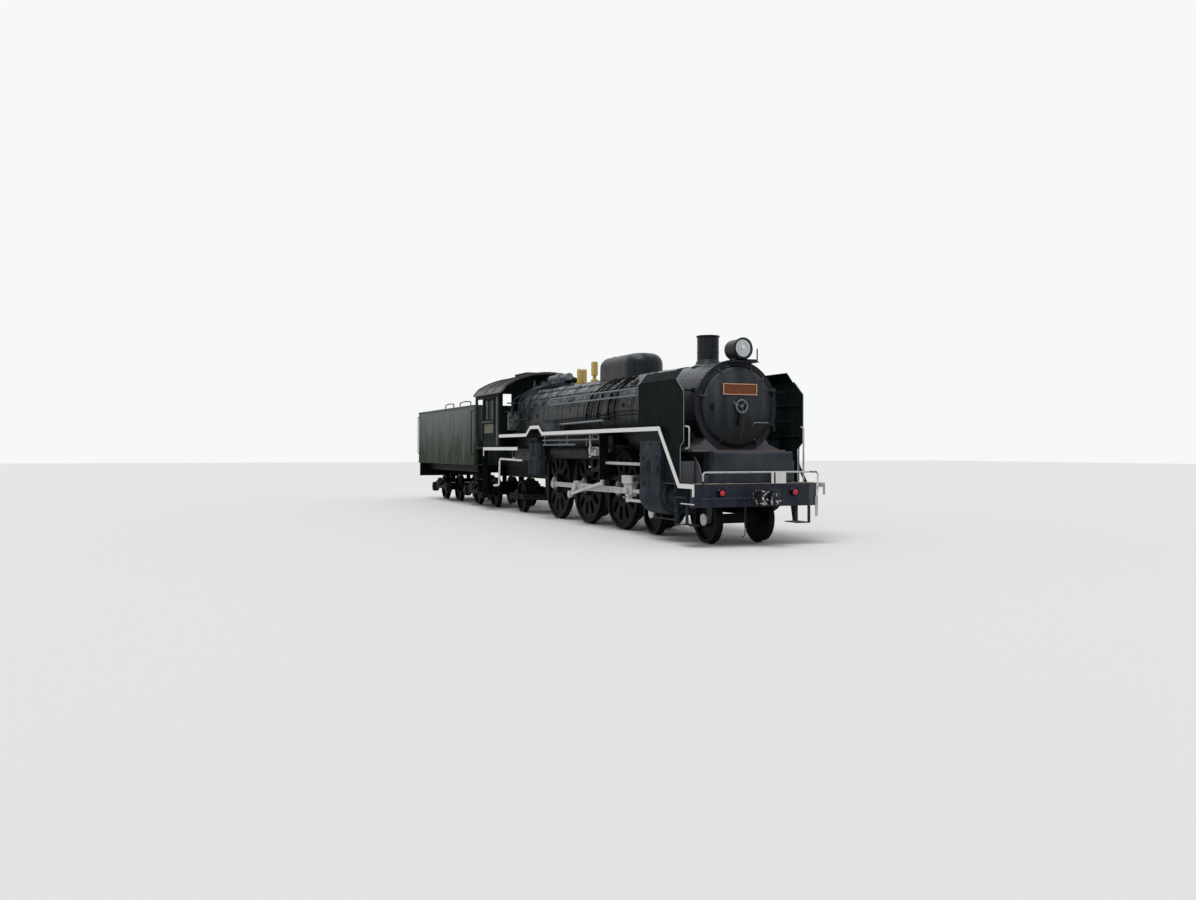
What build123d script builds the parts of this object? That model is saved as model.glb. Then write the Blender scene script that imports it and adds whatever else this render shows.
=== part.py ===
# Tender steam locomotive of the 4-6-2 wheel arrangement, 1067 mm gauge, in millimetres.
# +X is ahead, +Y the driver's left, +Z up. The origin is on the floor at mid length,
# where the wheel flanges reach, and the wheel treads stand one flange depth higher.
import os
from math import atan2, cos, degrees, hypot, radians, sin, sqrt

from build123d import *

os.makedirs("parts", exist_ok=True)

# Gaps used all over
SEAT = 0.3  # a piece that seats on a curved or moving neighbour
PIN_GAP = 6.0  # a turning pin's end to what stands still

# Wheels and axles
RAIL = 28  # flange depth, and so the rail head above the flanges' lowest point
BACK_TO_BACK = 990
TYRE_WIDTH = 130
TYRE_DEPTH = 70
DRIVER_R = 875
DRIVER_AXLE_R = 95
CARRIER_R = 430
CARRIER_AXLE_R = 70
JOURNAL_R = 62  # axle end in an outside bearing
OUTER_FACE = BACK_TO_BACK / 2 + TYRE_WIDTH
DRIVER_FLANGE_R = DRIVER_R + RAIL
CARRIER_FLANGE_R = CARRIER_R + RAIL
DRIVER_Z = RAIL + DRIVER_R
CARRIER_Z = RAIL + CARRIER_R

# Lengths from one piece to the next, measured along the engine
WHEEL_GAP = 144  # between the flanges of two driving wheels
BOGIE_GAP = 189  # driving wheel to leading wheel, flange to flange
FIREBOX_GAP = 97  # driving wheel's flange to the firebox
LEAD_BASE = 2200
CYL_BEHIND = 160  # cylinder's rear face behind the leading bogie's pivot
CYL_LENGTH = 860
SMOKEBOX_BEHIND = 600  # smokebox's rear end behind the same pivot
SMOKEBOX_LENGTH = 1780
BEAM_REACH = 720  # smokebox front to the buffer beam's face
BEAM_T = 80
FRONT_COUPLER_REACH = 460
FIREBOX_LENGTH = 1950
CAB_LAP = 400  # firebox inside the cab
CAB_LENGTH = 2300
TENDER_GAP = 150
TENDER_LENGTH = 7100
REAR_COUPLER_REACH = 565

DRIVER_SPACING = 2 * DRIVER_FLANGE_R + WHEEL_GAP
LEAD_AHEAD = DRIVER_SPACING + DRIVER_FLANGE_R + BOGIE_GAP + CARRIER_FLANGE_R + LEAD_BASE / 2
SMOKEBOX_AHEAD = LEAD_AHEAD - SMOKEBOX_BEHIND + SMOKEBOX_LENGTH
FIREBOX_BEHIND = DRIVER_SPACING + DRIVER_FLANGE_R + FIREBOX_GAP
CAB_BEHIND = FIREBOX_BEHIND + FIREBOX_LENGTH - CAB_LAP + CAB_LENGTH
FRONT_REACH = SMOKEBOX_AHEAD + BEAM_REACH + FRONT_COUPLER_REACH
REAR_REACH = CAB_BEHIND + TENDER_GAP + TENDER_LENGTH + REAR_COUPLER_REACH

# Places along the engine
X0 = (REAR_REACH - FRONT_REACH) / 2  # main axle
DRIVER_XS = [X0 + DRIVER_SPACING, X0, X0 - DRIVER_SPACING]
LEAD_PIVOT = X0 + LEAD_AHEAD
CYL_REAR = LEAD_PIVOT - CYL_BEHIND
CYL_FRONT = CYL_REAR + CYL_LENGTH
SMOKEBOX_REAR = LEAD_PIVOT - SMOKEBOX_BEHIND
SMOKEBOX_FRONT = X0 + SMOKEBOX_AHEAD
BEAM_FRONT = SMOKEBOX_FRONT + BEAM_REACH
FIREBOX_FRONT = X0 - FIREBOX_BEHIND
FIREBOX_REAR = FIREBOX_FRONT - FIREBOX_LENGTH
CAB_FRONT = FIREBOX_REAR + CAB_LAP
CAB_REAR = CAB_FRONT - CAB_LENGTH
FRAME_REAR = CAB_REAR + 160
DRAW_PIN = FRAME_REAR + 40
FRAME_FRONT = BEAM_FRONT - BEAM_T
TRAIL_PIVOT = FIREBOX_FRONT - 150
TRAIL_AXLE = FIREBOX_REAR + 100
TENDER_FRONT = CAB_REAR - TENDER_GAP
TENDER_REAR = TENDER_FRONT - TENDER_LENGTH

# Cranks and rods, by their distance from the middle of the engine
CRANK = 330  # half the piston stroke
CRANK_BOSS_FACE = 775
COUPLING_Y = 840
COUPLING_T = 80
MAIN_Y = 1000  # cylinder, crosshead and connecting rod lie in this plane
MAIN_T = 90
RETURN_Y = 1080
RETURN_T = 40
GEAR_Y = 1135  # eccentric rod, link and combination lever
GEAR_T = 36
PIN_R = 60
CROSSHEAD_ROOM = 1540  # crosshead's middle place to the cylinder
CONNECTING = CYL_REAR - X0 - CROSSHEAD_ROOM  # connecting rod between its centres
RIGHT, LEFT = -1, 1
CRANK_ANGLE = {RIGHT: 0, LEFT: 90}  # right pins forward, left pins up

# Frame
FRAME_Y = 430  # inner face of each side plate
FRAME_T = 40
FRAME_OUT = FRAME_Y + FRAME_T
FRAME_TOP = DRIVER_Z + 365
FRAME_LOW = DRIVER_Z - 235
FIREBOX_LOW = FRAME_TOP + 200
TRUCK_GAP = 62  # frame above the carrying wheels' flanges
TRUCK_TOP = CARRIER_Z + CARRIER_FLANGE_R + TRUCK_GAP
COUPLER_Z = RAIL + 880
DECK_Z = COUPLER_Z + 240
DECK_T = 20
DECK_Y = 1330
BEAM_LOW = COUPLER_Z - 180

# Boiler
BOILER_R = 880
BOILER_GAP = 142  # lagging above the driving wheels' flanges
WHEEL_TOP = DRIVER_Z + DRIVER_FLANGE_R
BOILER_Z = WHEEL_TOP + BOILER_GAP + sqrt(BOILER_R**2 - OUTER_FACE**2)
BAND_W = 60
BAND_T = 6
BAND_XS = [SMOKEBOX_REAR - 950 - 1020 * index for index in range(6)]
SMOKEBOX_R = BOILER_R - 20
SMOKEBOX_WALL = 20
RING_R = 700  # the door's opening
DOOR_R = RING_R + 45

# Platforms and cab
BOARD_Z = BOILER_Z - 375  # top of the running board's edge
BOARD_REAR_Z = BOARD_Z - 20
RAISED_Z = BOARD_Z + 165  # over the air compressor
BOARD_EDGE = 80
BOARD_T = 14
BOARD_IN = 812
EDGE_Y = 1370
EDGE_T = 14
CAB_Y = 1380
CAB_WALL = 26
CAB_FLOOR = BOARD_REAR_Z - 345
FLOOR_T = 40
FLOOR_EDGE = 85
EAVE_Z = BOILER_Z + 750
ROOF_Y = 1425
ROOF_T = 24
SHOULDER_Y = 1280  # where the steep edge meets the arch
SHOULDER_RISE = 175
ROOF_TOP = EAVE_Z + 580
VENT_Y = 380
VENT_RISE = 60

# Cylinders
CYL_R = 380
CASING_Y = 1362
VALVE_Z = DRIVER_Z + 575
VALVE_Y = 960
VALVE_R = 205
COVER_T = 60
SLIDE_Z = DRIVER_Z + 210  # underside of the slide bar
SLIDE_H = 80
BRACKET_X = DRIVER_XS[0] + 350

# Tender
TANK_Y = 1370
TANK_LOW = RAIL + 1270
TANK_TOP = RAIL + 3070
TANK_WALL = 24
SILL_LOW = RAIL + 1040
SILL_Y = 1000
TENDER_BOGIES = [TENDER_FRONT - 1300, TENDER_REAR + 1700]
TENDER_BASE = 1800
JOURNAL_Y = 900  # inner face of a tender bogie's side frame
JOURNAL_T = 90


def finish(piece, name):
    """Labels one piece and writes it."""
    piece.part.label = name
    export_step(piece.part, f"parts/{name}.step")


def side_name(side):
    return "right" if side == RIGHT else "left"


def crank_pin(side, radius=CRANK):
    """Place of a crank pin ahead of and above its axle."""
    angle = radians(CRANK_ANGLE[side])
    return radius * cos(angle), radius * sin(angle)


def span(y_low, y_high, side):
    """Centre and width of a piece that lies between two distances on one side."""
    return side * (y_low + y_high) / 2, y_high - y_low


def slab(points, y_low, y_high, side=LEFT, mode=Mode.ADD):
    """Extrudes an outline of (x, z) points between two distances from the middle."""
    middle, width = span(y_low, y_high, side)
    with BuildSketch(Plane.XZ.offset(-middle)) as outline:
        with BuildLine():
            Polyline(*points, close=True)
        make_face()
    extrude(outline.sketch, amount=width / 2, both=True, mode=mode)


def block(x_low, x_high, y_low, y_high, z_low, z_high, side=LEFT, mode=Mode.ADD):
    """One box between its limits; the second pair are distances from the middle on one side."""
    middle, width = span(y_low, y_high, side)
    with Locations(((x_low + x_high) / 2, middle, (z_low + z_high) / 2)):
        Box(x_high - x_low, width, z_high - z_low, mode=mode)


def lug(x, z, radius, y_low, y_high, side=LEFT, mode=Mode.ADD):
    """A round boss, pin or hole across the engine."""
    middle, width = span(y_low, y_high, side)
    with Locations(Location((x, middle, z), (90, 0, 0))):
        Cylinder(radius, width, mode=mode)


def along(x_low, x_high, y, z, radius, mode=Mode.ADD):
    """A round bar or hole along the engine."""
    with Locations(Location(((x_low + x_high) / 2, y, z), (0, 90, 0))):
        Cylinder(radius, x_high - x_low, mode=mode)


def post(x, y, z_low, z_high, radius, mode=Mode.ADD):
    """An upright round bar or hole."""
    with Locations((x, y, (z_low + z_high) / 2)):
        Cylinder(radius, z_high - z_low, mode=mode)


def tube(points, radius, bend):
    """A pipe of one bend radius along its corner points."""
    with BuildLine() as route:
        FilletPolyline(*points, radius=bend)
    with BuildSketch(Plane(origin=route.line @ 0, z_dir=route.line % 0)) as profile:
        Circle(radius)
    sweep(profile.sketch, path=route.line)


def rod(start, end, height, y_low, y_high, side):
    """The straight shank of a rod between two (x, z) centres."""
    x, z = (start[0] + end[0]) / 2, (start[1] + end[1]) / 2
    run = hypot(end[0] - start[0], end[1] - start[1])
    slope = degrees(atan2(end[1] - start[1], end[0] - start[0]))
    middle, width = span(y_low, y_high, side)
    with Locations(Location((x, middle, z), (0, -slope, 0))):
        Box(run, width, height)


def turned(points, x, y, z):
    """A fitting turned about an upright axis from (radius, height) corners."""
    with BuildPart() as blank:
        with BuildSketch(Plane.XZ):
            with BuildLine():
                Polyline(*points, close=True)
            make_face()
        revolve(axis=Axis.Z)
    add(blank.part.moved(Location((x, y, z))))


# Wheelsets: each wheel is turned about the axle and bored for it, and the axle runs through both
def wheel_outline(tread_r, bore_r, hub_r, hub_face, web_face):
    """Half section of a wheel, as (radius, distance from the middle) corners."""
    inner = BACK_TO_BACK / 2
    return [
        (bore_r, inner),
        (tread_r + RAIL, inner),
        (tread_r + RAIL, inner + 18),
        (tread_r, inner + 34),
        (tread_r, OUTER_FACE),
        (tread_r - TYRE_DEPTH, OUTER_FACE),
        (tread_r - TYRE_DEPTH, web_face),
        (hub_r, web_face),
        (hub_r, hub_face),
        (bore_r, hub_face),
    ]


HUB_PROUD = 12  # a carrying wheel's hub beyond its tyre


def carrying_wheelset(name, x, end_y, end_r):
    """A plain disc wheelset whose axle ends at a distance from the middle with its own radius."""
    with BuildPart() as wheelset:
        with BuildSketch(Plane.XY):
            with BuildLine():
                Polyline(
                    *wheel_outline(CARRIER_R, CARRIER_AXLE_R + SEAT, 130, OUTER_FACE + HUB_PROUD, 560),
                    close=True,
                )
            make_face()
        revolve(axis=Axis.Y)
        mirror(about=Plane.XZ)
        hub_face = OUTER_FACE + HUB_PROUD + SEAT
        lug(0, 0, CARRIER_AXLE_R, -hub_face, hub_face)
        for side in (RIGHT, LEFT):
            lug(0, 0, end_r, hub_face, end_y, side)
    with BuildPart() as placed:
        add(wheelset.part.moved(Location((x, 0, CARRIER_Z))))
    finish(placed, name)


DRIVER_HOLES = 11
DRIVER_HOLE_R = 545
DRIVER_HUB_R = 230
DRIVER_WEB = 590  # outer face of the web
DRIVER_HUB_FACE = OUTER_FACE + 60
WEIGHT_CHORD = 590  # a balance weight fills the rim beyond this chord
WEIGHT_FACE = OUTER_FACE + 15


def driving_wheelset(name, x, main):
    """Box-disc driving wheels with oval openings, crank bosses, pressed pins and balance weights."""
    weight_r = DRIVER_R - TYRE_DEPTH + 10
    bore_r = DRIVER_AXLE_R + SEAT
    with BuildPart() as wheelset:
        with BuildSketch(Plane.XY):
            with BuildLine():
                Polyline(
                    *wheel_outline(DRIVER_R, bore_r, DRIVER_HUB_R, DRIVER_HUB_FACE, DRIVER_WEB), close=True
                )
            make_face()
        revolve(axis=Axis.Y)
        mirror(about=Plane.XZ)
        for side in (RIGHT, LEFT):
            pin_x, pin_z = crank_pin(side)
            first = CRANK_ANGLE[side] + 360 / DRIVER_HOLES
            with BuildSketch(Plane.XZ.offset(-side * (OUTER_FACE - TYRE_WIDTH / 2))) as openings:
                for hole in range(DRIVER_HOLES - 1):
                    with PolarLocations(DRIVER_HOLE_R, 1, start_angle=first + hole * 360 / DRIVER_HOLES):
                        SlotOverall(330, 150)
            extrude(openings.sketch, amount=TYRE_WIDTH, both=True, mode=Mode.SUBTRACT)
            with BuildSketch(Plane.XZ.offset(-side * (DRIVER_WEB + WEIGHT_FACE) / 2)) as weight:
                Circle(weight_r)
                with PolarLocations(WEIGHT_CHORD + weight_r / 2, 1, start_angle=CRANK_ANGLE[side] + 180):
                    Rectangle(weight_r, 2 * weight_r, mode=Mode.INTERSECT)
            extrude(weight.sketch, amount=(WEIGHT_FACE - DRIVER_WEB) / 2, both=True)
            boss_low = BACK_TO_BACK / 2 + 40
            lug(pin_x, pin_z, 140, boss_low, CRANK_BOSS_FACE, side)
            lug(pin_x, pin_z, PIN_R + SEAT, BACK_TO_BACK / 2, CRANK_BOSS_FACE, side, mode=Mode.SUBTRACT)
            side_rod_face = COUPLING_Y + COUPLING_T / 2 + SEAT
            pin_end = MAIN_Y - MAIN_T / 2 - PIN_GAP if main else side_rod_face + 25
            lug(pin_x, pin_z, PIN_R, boss_low, pin_end, side)
            if not main:
                lug(pin_x, pin_z, PIN_R + 25, side_rod_face, pin_end, side)
        lug(0, 0, DRIVER_AXLE_R, -DRIVER_HUB_FACE - 10, DRIVER_HUB_FACE + 10)
    with BuildPart() as placed:
        add(wheelset.part.moved(Location((x, 0, DRIVER_Z))))
    finish(placed, name)


for index, axle_x in enumerate(DRIVER_XS, start=1):
    driving_wheelset(f"driving_wheelset_{index}", axle_x, main=index == 2)


def coupling_rod(side):
    """Fluted side rod on the three pins of one side, with oil boxes on its eyes."""
    pin_x, pin_z = crank_pin(side)
    eyes = [(x + pin_x, DRIVER_Z + pin_z) for x in DRIVER_XS]
    low, high = COUPLING_Y - COUPLING_T / 2, COUPLING_Y + COUPLING_T / 2
    inset, flute = 15, 14
    with BuildPart() as piece:
        rod(eyes[0], eyes[2], 110, low + inset, high - inset, side)
        for face in (low + inset + flute / 2, high - inset - flute / 2):
            for first, second in ((eyes[0], eyes[1]), (eyes[1], eyes[2])):
                with Locations(((first[0] + second[0]) / 2, side * face, first[1])):
                    Box(DRIVER_SPACING - 380, flute, 60, mode=Mode.SUBTRACT)
        for eye in eyes:
            lug(*eye, 112, low, high, side)
            block(eye[0] - 45, eye[0] + 45, low, high, eye[1] + 90, eye[1] + 150, side)
        for eye in eyes:
            lug(*eye, PIN_R + SEAT, low, high, side, mode=Mode.SUBTRACT)
    finish(piece, f"coupling_rod_{side_name(side)}")


# Crosshead, connecting rod and valve gear of each side
CROSS_HALF = 200
FORK_T = 60
GUDGEON_R = 45
ECCENTRIC = (150, -190)  # return crank's pin from the axle's centre, with that side's crank ahead
LINK = (DRIVER_XS[0] + 180, DRIVER_Z + 555)
LINK_FOOT = (LINK[0] - 60, DRIVER_Z + 135)
LEVER_X = CYL_REAR - 360
LEVER_TOP = VALVE_Z + 50
LEVER_LOW = DRIVER_Z - 175
LINK_GAP = 6


def crosshead_x(side):
    pin_x, pin_z = crank_pin(side)
    return X0 + pin_x + sqrt(CONNECTING**2 - pin_z**2)


def crosshead(side):
    """Crosshead that hangs from the slide bar, with its piston rod and drop arm."""
    x = crosshead_x(side)
    low, high = MAIN_Y - 60, MAIN_Y + 60
    guide_low, guide_high = MAIN_Y - 90, MAIN_Y + 90
    keeper = SLIDE_Z + SLIDE_H + SEAT
    keeper_t = 34
    shoe_half = CROSS_HALF + 40
    with BuildPart() as piece:
        slab(
            [
                (x - CROSS_HALF, SLIDE_Z - SEAT),
                (x - CROSS_HALF, DRIVER_Z + 60),
                (x - 110, DRIVER_Z - 110),
                (x + 110, DRIVER_Z - 110),
                (x + CROSS_HALF, DRIVER_Z - 60),
                (x + CROSS_HALF, SLIDE_Z - SEAT),
            ],
            low,
            high,
            side,
        )
        for y_low, y_high in ((guide_low, MAIN_Y - 55 - SEAT), (MAIN_Y + 55 + SEAT, guide_high)):
            block(x - shoe_half, x + shoe_half, y_low, y_high, SLIDE_Z - 50, keeper + keeper_t, side)
        block(x - shoe_half, x + shoe_half, guide_low, guide_high, keeper, keeper + keeper_t, side)
        middle, width = span(MAIN_Y - FORK_T / 2 - SEAT, MAIN_Y + FORK_T / 2 + SEAT, side)
        with Locations((x - CROSS_HALF / 2 - 20, middle, DRIVER_Z)):
            Box(CROSS_HALF + 280, width, 300, mode=Mode.SUBTRACT)
        lug(x, DRIVER_Z, GUDGEON_R, low - 10, high + 25, side)
        along(x + CROSS_HALF - 20, CYL_REAR - COVER_T, side * MAIN_Y, DRIVER_Z, 45)
        slab(
            [
                (x + 60, DRIVER_Z - 60),
                (x + 150, DRIVER_Z - 60),
                (x + 190, LEVER_LOW - 35),
                (x + 110, LEVER_LOW - 35),
            ],
            high - 30,
            GEAR_Y - GEAR_T / 2 - SEAT,
            side,
        )
    finish(piece, f"crosshead_{side_name(side)}")


def connecting_rod(side):
    """Tapered main rod: forked crosshead end, fluted shank and strapped big end."""
    pin_x, pin_z = crank_pin(side)
    big = (X0 + pin_x, DRIVER_Z + pin_z)
    small = (crosshead_x(side), DRIVER_Z)
    low, high = MAIN_Y - MAIN_T / 2, MAIN_Y + MAIN_T / 2
    slope = degrees(atan2(small[1] - big[1], small[0] - big[0]))
    middle, _ = span(low, high, side)
    flute = 18
    with BuildPart() as blank:
        with BuildSketch(Plane.XZ.offset(-middle)):
            with BuildLine():
                Polyline((60, -85), (60, 85), (CONNECTING - 60, 55), (CONNECTING - 60, -55), close=True)
            make_face()
        extrude(amount=FORK_T / 2, both=True)
        with BuildSketch(Plane.XZ.offset(-middle)) as strap:
            RectangleRounded(330, 260, 60)
        extrude(strap.sketch, amount=MAIN_T / 2, both=True)
        lug(CONNECTING, 0, 85, MAIN_Y - FORK_T / 2, MAIN_Y + FORK_T / 2, side)
        for face in (MAIN_Y - (FORK_T - flute) / 2, MAIN_Y + (FORK_T - flute) / 2):
            with Locations((CONNECTING / 2 + 20, side * face, 0)):
                Box(CONNECTING - 700, flute, 66, mode=Mode.SUBTRACT)
        lug(0, 0, PIN_R + SEAT, low, high, side, mode=Mode.SUBTRACT)
        lug(CONNECTING, 0, GUDGEON_R + SEAT, low, high, side, mode=Mode.SUBTRACT)
    with BuildPart() as piece:
        add(blank.part.moved(Location((big[0], 0, big[1]), (0, -slope, 0))))
    finish(piece, f"connecting_rod_{side_name(side)}")


def valve_gear(side):
    """Return crank, eccentric rod, expansion link, radius rod, combination lever and union link."""
    pin_x, pin_z = crank_pin(side)
    angle = radians(CRANK_ANGLE[side])
    turn_x = ECCENTRIC[0] * cos(angle) - ECCENTRIC[1] * sin(angle)
    turn_z = ECCENTRIC[0] * sin(angle) + ECCENTRIC[1] * cos(angle)
    main = (X0 + pin_x, DRIVER_Z + pin_z)
    tip = (X0 + turn_x, DRIVER_Z + turn_z)
    ret_low, ret_high = RETURN_Y - RETURN_T / 2, RETURN_Y + RETURN_T / 2
    low, high = GEAR_Y - GEAR_T / 2, GEAR_Y + GEAR_T / 2
    union_x = crosshead_x(side) + 150
    lever_foot = (LEVER_X + 60, LEVER_LOW)
    with BuildPart() as piece:
        lug(*main, PIN_R, MAIN_Y - MAIN_T / 2, ret_high, side)
        lug(*main, 90, ret_low, ret_high, side)
        rod(main, tip, 110, ret_low, ret_high, side)
        lug(*tip, 62, ret_low, high + 10, side)
        rod(tip, LINK_FOOT, 62, low, high, side)
        lug(*tip, 85, low, high, side)
        lug(*LINK_FOOT, 52, low - 12, high + 12, side)
        slab(
            [
                (LINK_FOOT[0] - 30, LINK_FOOT[1]),
                (LINK_FOOT[0] + 40, LINK_FOOT[1]),
                (LINK[0] + 75, LINK[1] - 230),
                (LINK[0] + 95, LINK[1]),
                (LINK[0] + 75, LINK[1] + 240),
                (LINK[0] - 15, LINK[1] + 240),
                (LINK[0] + 5, LINK[1]),
                (LINK[0] - 20, LINK[1] - 240),
            ],
            low,
            high,
            side,
        )
        rod((LINK[0] + 45, LINK[1] + 20), (LEVER_X, LEVER_TOP - 60), 58, low, high, side)
        rod((LEVER_X, LEVER_TOP), lever_foot, 60, low, high, side)
        rod(lever_foot, (union_x, LEVER_LOW), 55, low, high, side)
        for x, z in ((LEVER_X, LEVER_TOP - 60), lever_foot, (union_x, LEVER_LOW)):
            lug(x, z, 48, low, high, side)
        along(LEVER_X - 30, CYL_REAR - COVER_T, side * VALVE_Y, VALVE_Z, 28)
        block(LEVER_X - 40, LEVER_X + 50, VALVE_Y - 30, low, VALVE_Z - 34, VALVE_Z + 34, side)
    finish(piece, f"valve_gear_{side_name(side)}")


def slide_bars(side):
    """Slide bar, the motion bracket that carries it, and the cheeks that hold the link."""
    inner = GEAR_Y - GEAR_T / 2 - LINK_GAP
    outer = GEAR_Y + GEAR_T / 2 + LINK_GAP
    cheek, plate = 26, 50
    rear = LINK[0] - 560
    low, high = LINK[1] - 180, LINK[1] + 170
    board = BOARD_Z - BOARD_T
    with BuildPart() as piece:
        block(BRACKET_X, CYL_REAR - COVER_T, MAIN_Y - 55, MAIN_Y + 55, SLIDE_Z, SLIDE_Z + SLIDE_H, side)
        block(BRACKET_X - plate, BRACKET_X, MAIN_Y - 75, 1290, SLIDE_Z, board, side)
        block(BRACKET_X - plate, BRACKET_X, 600, MAIN_Y - 75, WHEEL_TOP + 50, board, side)
        along(BRACKET_X - plate, BRACKET_X, 0, BOILER_Z, BOILER_R + SEAT, mode=Mode.SUBTRACT)
        block(
            BRACKET_X - plate, BRACKET_X, inner, outer, LINK[1] - 60, LINK[1] + 130, side, mode=Mode.SUBTRACT
        )
        block(
            BRACKET_X - plate, BRACKET_X, MAIN_Y - 20, inner - cheek, high + 60, board - 120, side,
            mode=Mode.SUBTRACT,
        )
        for y_low in (inner - cheek, outer):
            block(rear, BRACKET_X, y_low, y_low + cheek, low, high, side)
            block(
                rear + 90, LINK[0] - 130, y_low, y_low + cheek, low + 90, high - 80, side, mode=Mode.SUBTRACT
            )
        block(rear, rear + plate, inner, outer, low, high, side)
        lug(LINK[0] + 45, LINK[1], 40, inner, inner + LINK_GAP, side)
        lug(LINK[0] + 45, LINK[1], 40, outer - LINK_GAP, outer, side)
    finish(piece, f"slide_bars_{side_name(side)}")


SADDLE_Y = 460


def cylinder(side):
    """Cylinder and valve chest in one flat-sided casing, with covers at both ends."""
    throat_z = DRIVER_Z + 185
    with BuildPart() as piece:
        with BuildSketch(Plane.YZ.offset(CYL_REAR)) as casing:
            with Locations((side * MAIN_Y, DRIVER_Z)):
                Circle(CYL_R)
            with BuildLine():
                Polyline(
                    (side * (MAIN_Y - CYL_R + 30), DRIVER_Z),
                    (side * (MAIN_Y - CYL_R + 30), throat_z),
                    (side * FRAME_OUT, throat_z),
                    (side * FRAME_OUT, FRAME_TOP),
                    (side * 700, VALVE_Z + 190),
                    (side * 1090, BOARD_Z - BOARD_T),
                    (side * CASING_Y, BOARD_Z - BOARD_T),
                    (side * CASING_Y, DRIVER_Z),
                    close=True,
                )
            make_face()
        extrude(casing.sketch, amount=CYL_LENGTH)
        for x_low, x_high in ((CYL_REAR - COVER_T, CYL_REAR), (CYL_FRONT, CYL_FRONT + COVER_T)):
            along(x_low, x_high, side * MAIN_Y, DRIVER_Z, 300)
            along(x_low, x_high, side * VALVE_Y, VALVE_Z, VALVE_R)
        boss_start = CYL_FRONT + COVER_T
        along(boss_start, boss_start + 150, side * MAIN_Y, DRIVER_Z, 195)
        along(boss_start, boss_start + 40, side * VALVE_Y, VALVE_Z, 90)
    finish(piece, f"cylinder_{side_name(side)}")


SLOPE_REACH = 800  # from the cylinder's front to the foot of the board's slope
DROP_X = BEAM_FRONT + 150  # front end of the edge
DROP = 220


def board_path():
    """Corners of the running board's upper edge, from the cab to the front, as (x, z)."""
    return [
        (CAB_FRONT, BOARD_REAR_Z),
        (X0 - 2250, BOARD_REAR_Z),
        (X0 - 1930, RAISED_Z),
        (X0 - 1330, RAISED_Z),
        (X0 - 1080, BOARD_Z),
        (CYL_FRONT, BOARD_Z),
        (CYL_FRONT + SLOPE_REACH, DECK_Z),
        (DROP_X, DECK_Z),
    ]


def running_board(side):
    """Side platform in one bent plate with its deep edge, the steep front slope and the end drop."""
    path = board_path()
    level, foot, tip = path[5:]
    with BuildPart() as piece:
        for depth, y_low, y_high in ((BOARD_EDGE, EDGE_Y, EDGE_Y + EDGE_T), (BOARD_T, BOARD_IN, EDGE_Y)):
            lower = [(x, z - depth) for x, z in reversed(path[:6])]
            slab(path[:6] + lower, y_low, y_high, side)
        block(
            CAB_FRONT, FIREBOX_FRONT + 20, BOARD_IN, BOILER_R + SEAT, BOARD_Z - 60, BOARD_Z, side,
            mode=Mode.SUBTRACT,
        )
        along(CAB_FRONT, SMOKEBOX_REAR, 0, BOILER_Z, BOILER_R + BAND_T + SEAT, mode=Mode.SUBTRACT)
        slab(
            [
                level,
                foot,
                tip,
                (tip[0], tip[1] - DROP),
                (tip[0] - 55, tip[1] - DROP),
                (tip[0] - 55, tip[1] - BOARD_EDGE),
                (foot[0] - 45, foot[1] - BOARD_EDGE),
                (level[0] - 45, level[1] - BOARD_EDGE),
                (level[0] - 45, level[1]),
            ],
            EDGE_Y,
            EDGE_Y + EDGE_T,
            side,
        )
        block(foot[0] + 60, BEAM_FRONT - 40, DECK_Y, EDGE_Y, DECK_Z - DECK_T, DECK_Z, side)
    finish(piece, f"running_board_{side_name(side)}")


DEFLECTOR_Y = 1266
DEFLECTOR_T = 14
DEFLECTOR_REAR = SMOKEBOX_REAR + 220
DEFLECTOR_FRONT = SMOKEBOX_FRONT + 310
FOLD_Z = BOILER_Z + 490
DEFLECTOR_TOP = FOLD_Z + 180
FOLD_IN = 140
DEFLECTOR_STAYS = [
    (DEFLECTOR_REAR + 480, BOILER_Z + 300),
    (SMOKEBOX_FRONT - 180, BOILER_Z + 300),
    (SMOKEBOX_FRONT - 180, BOILER_Z - 260),
]


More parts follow.
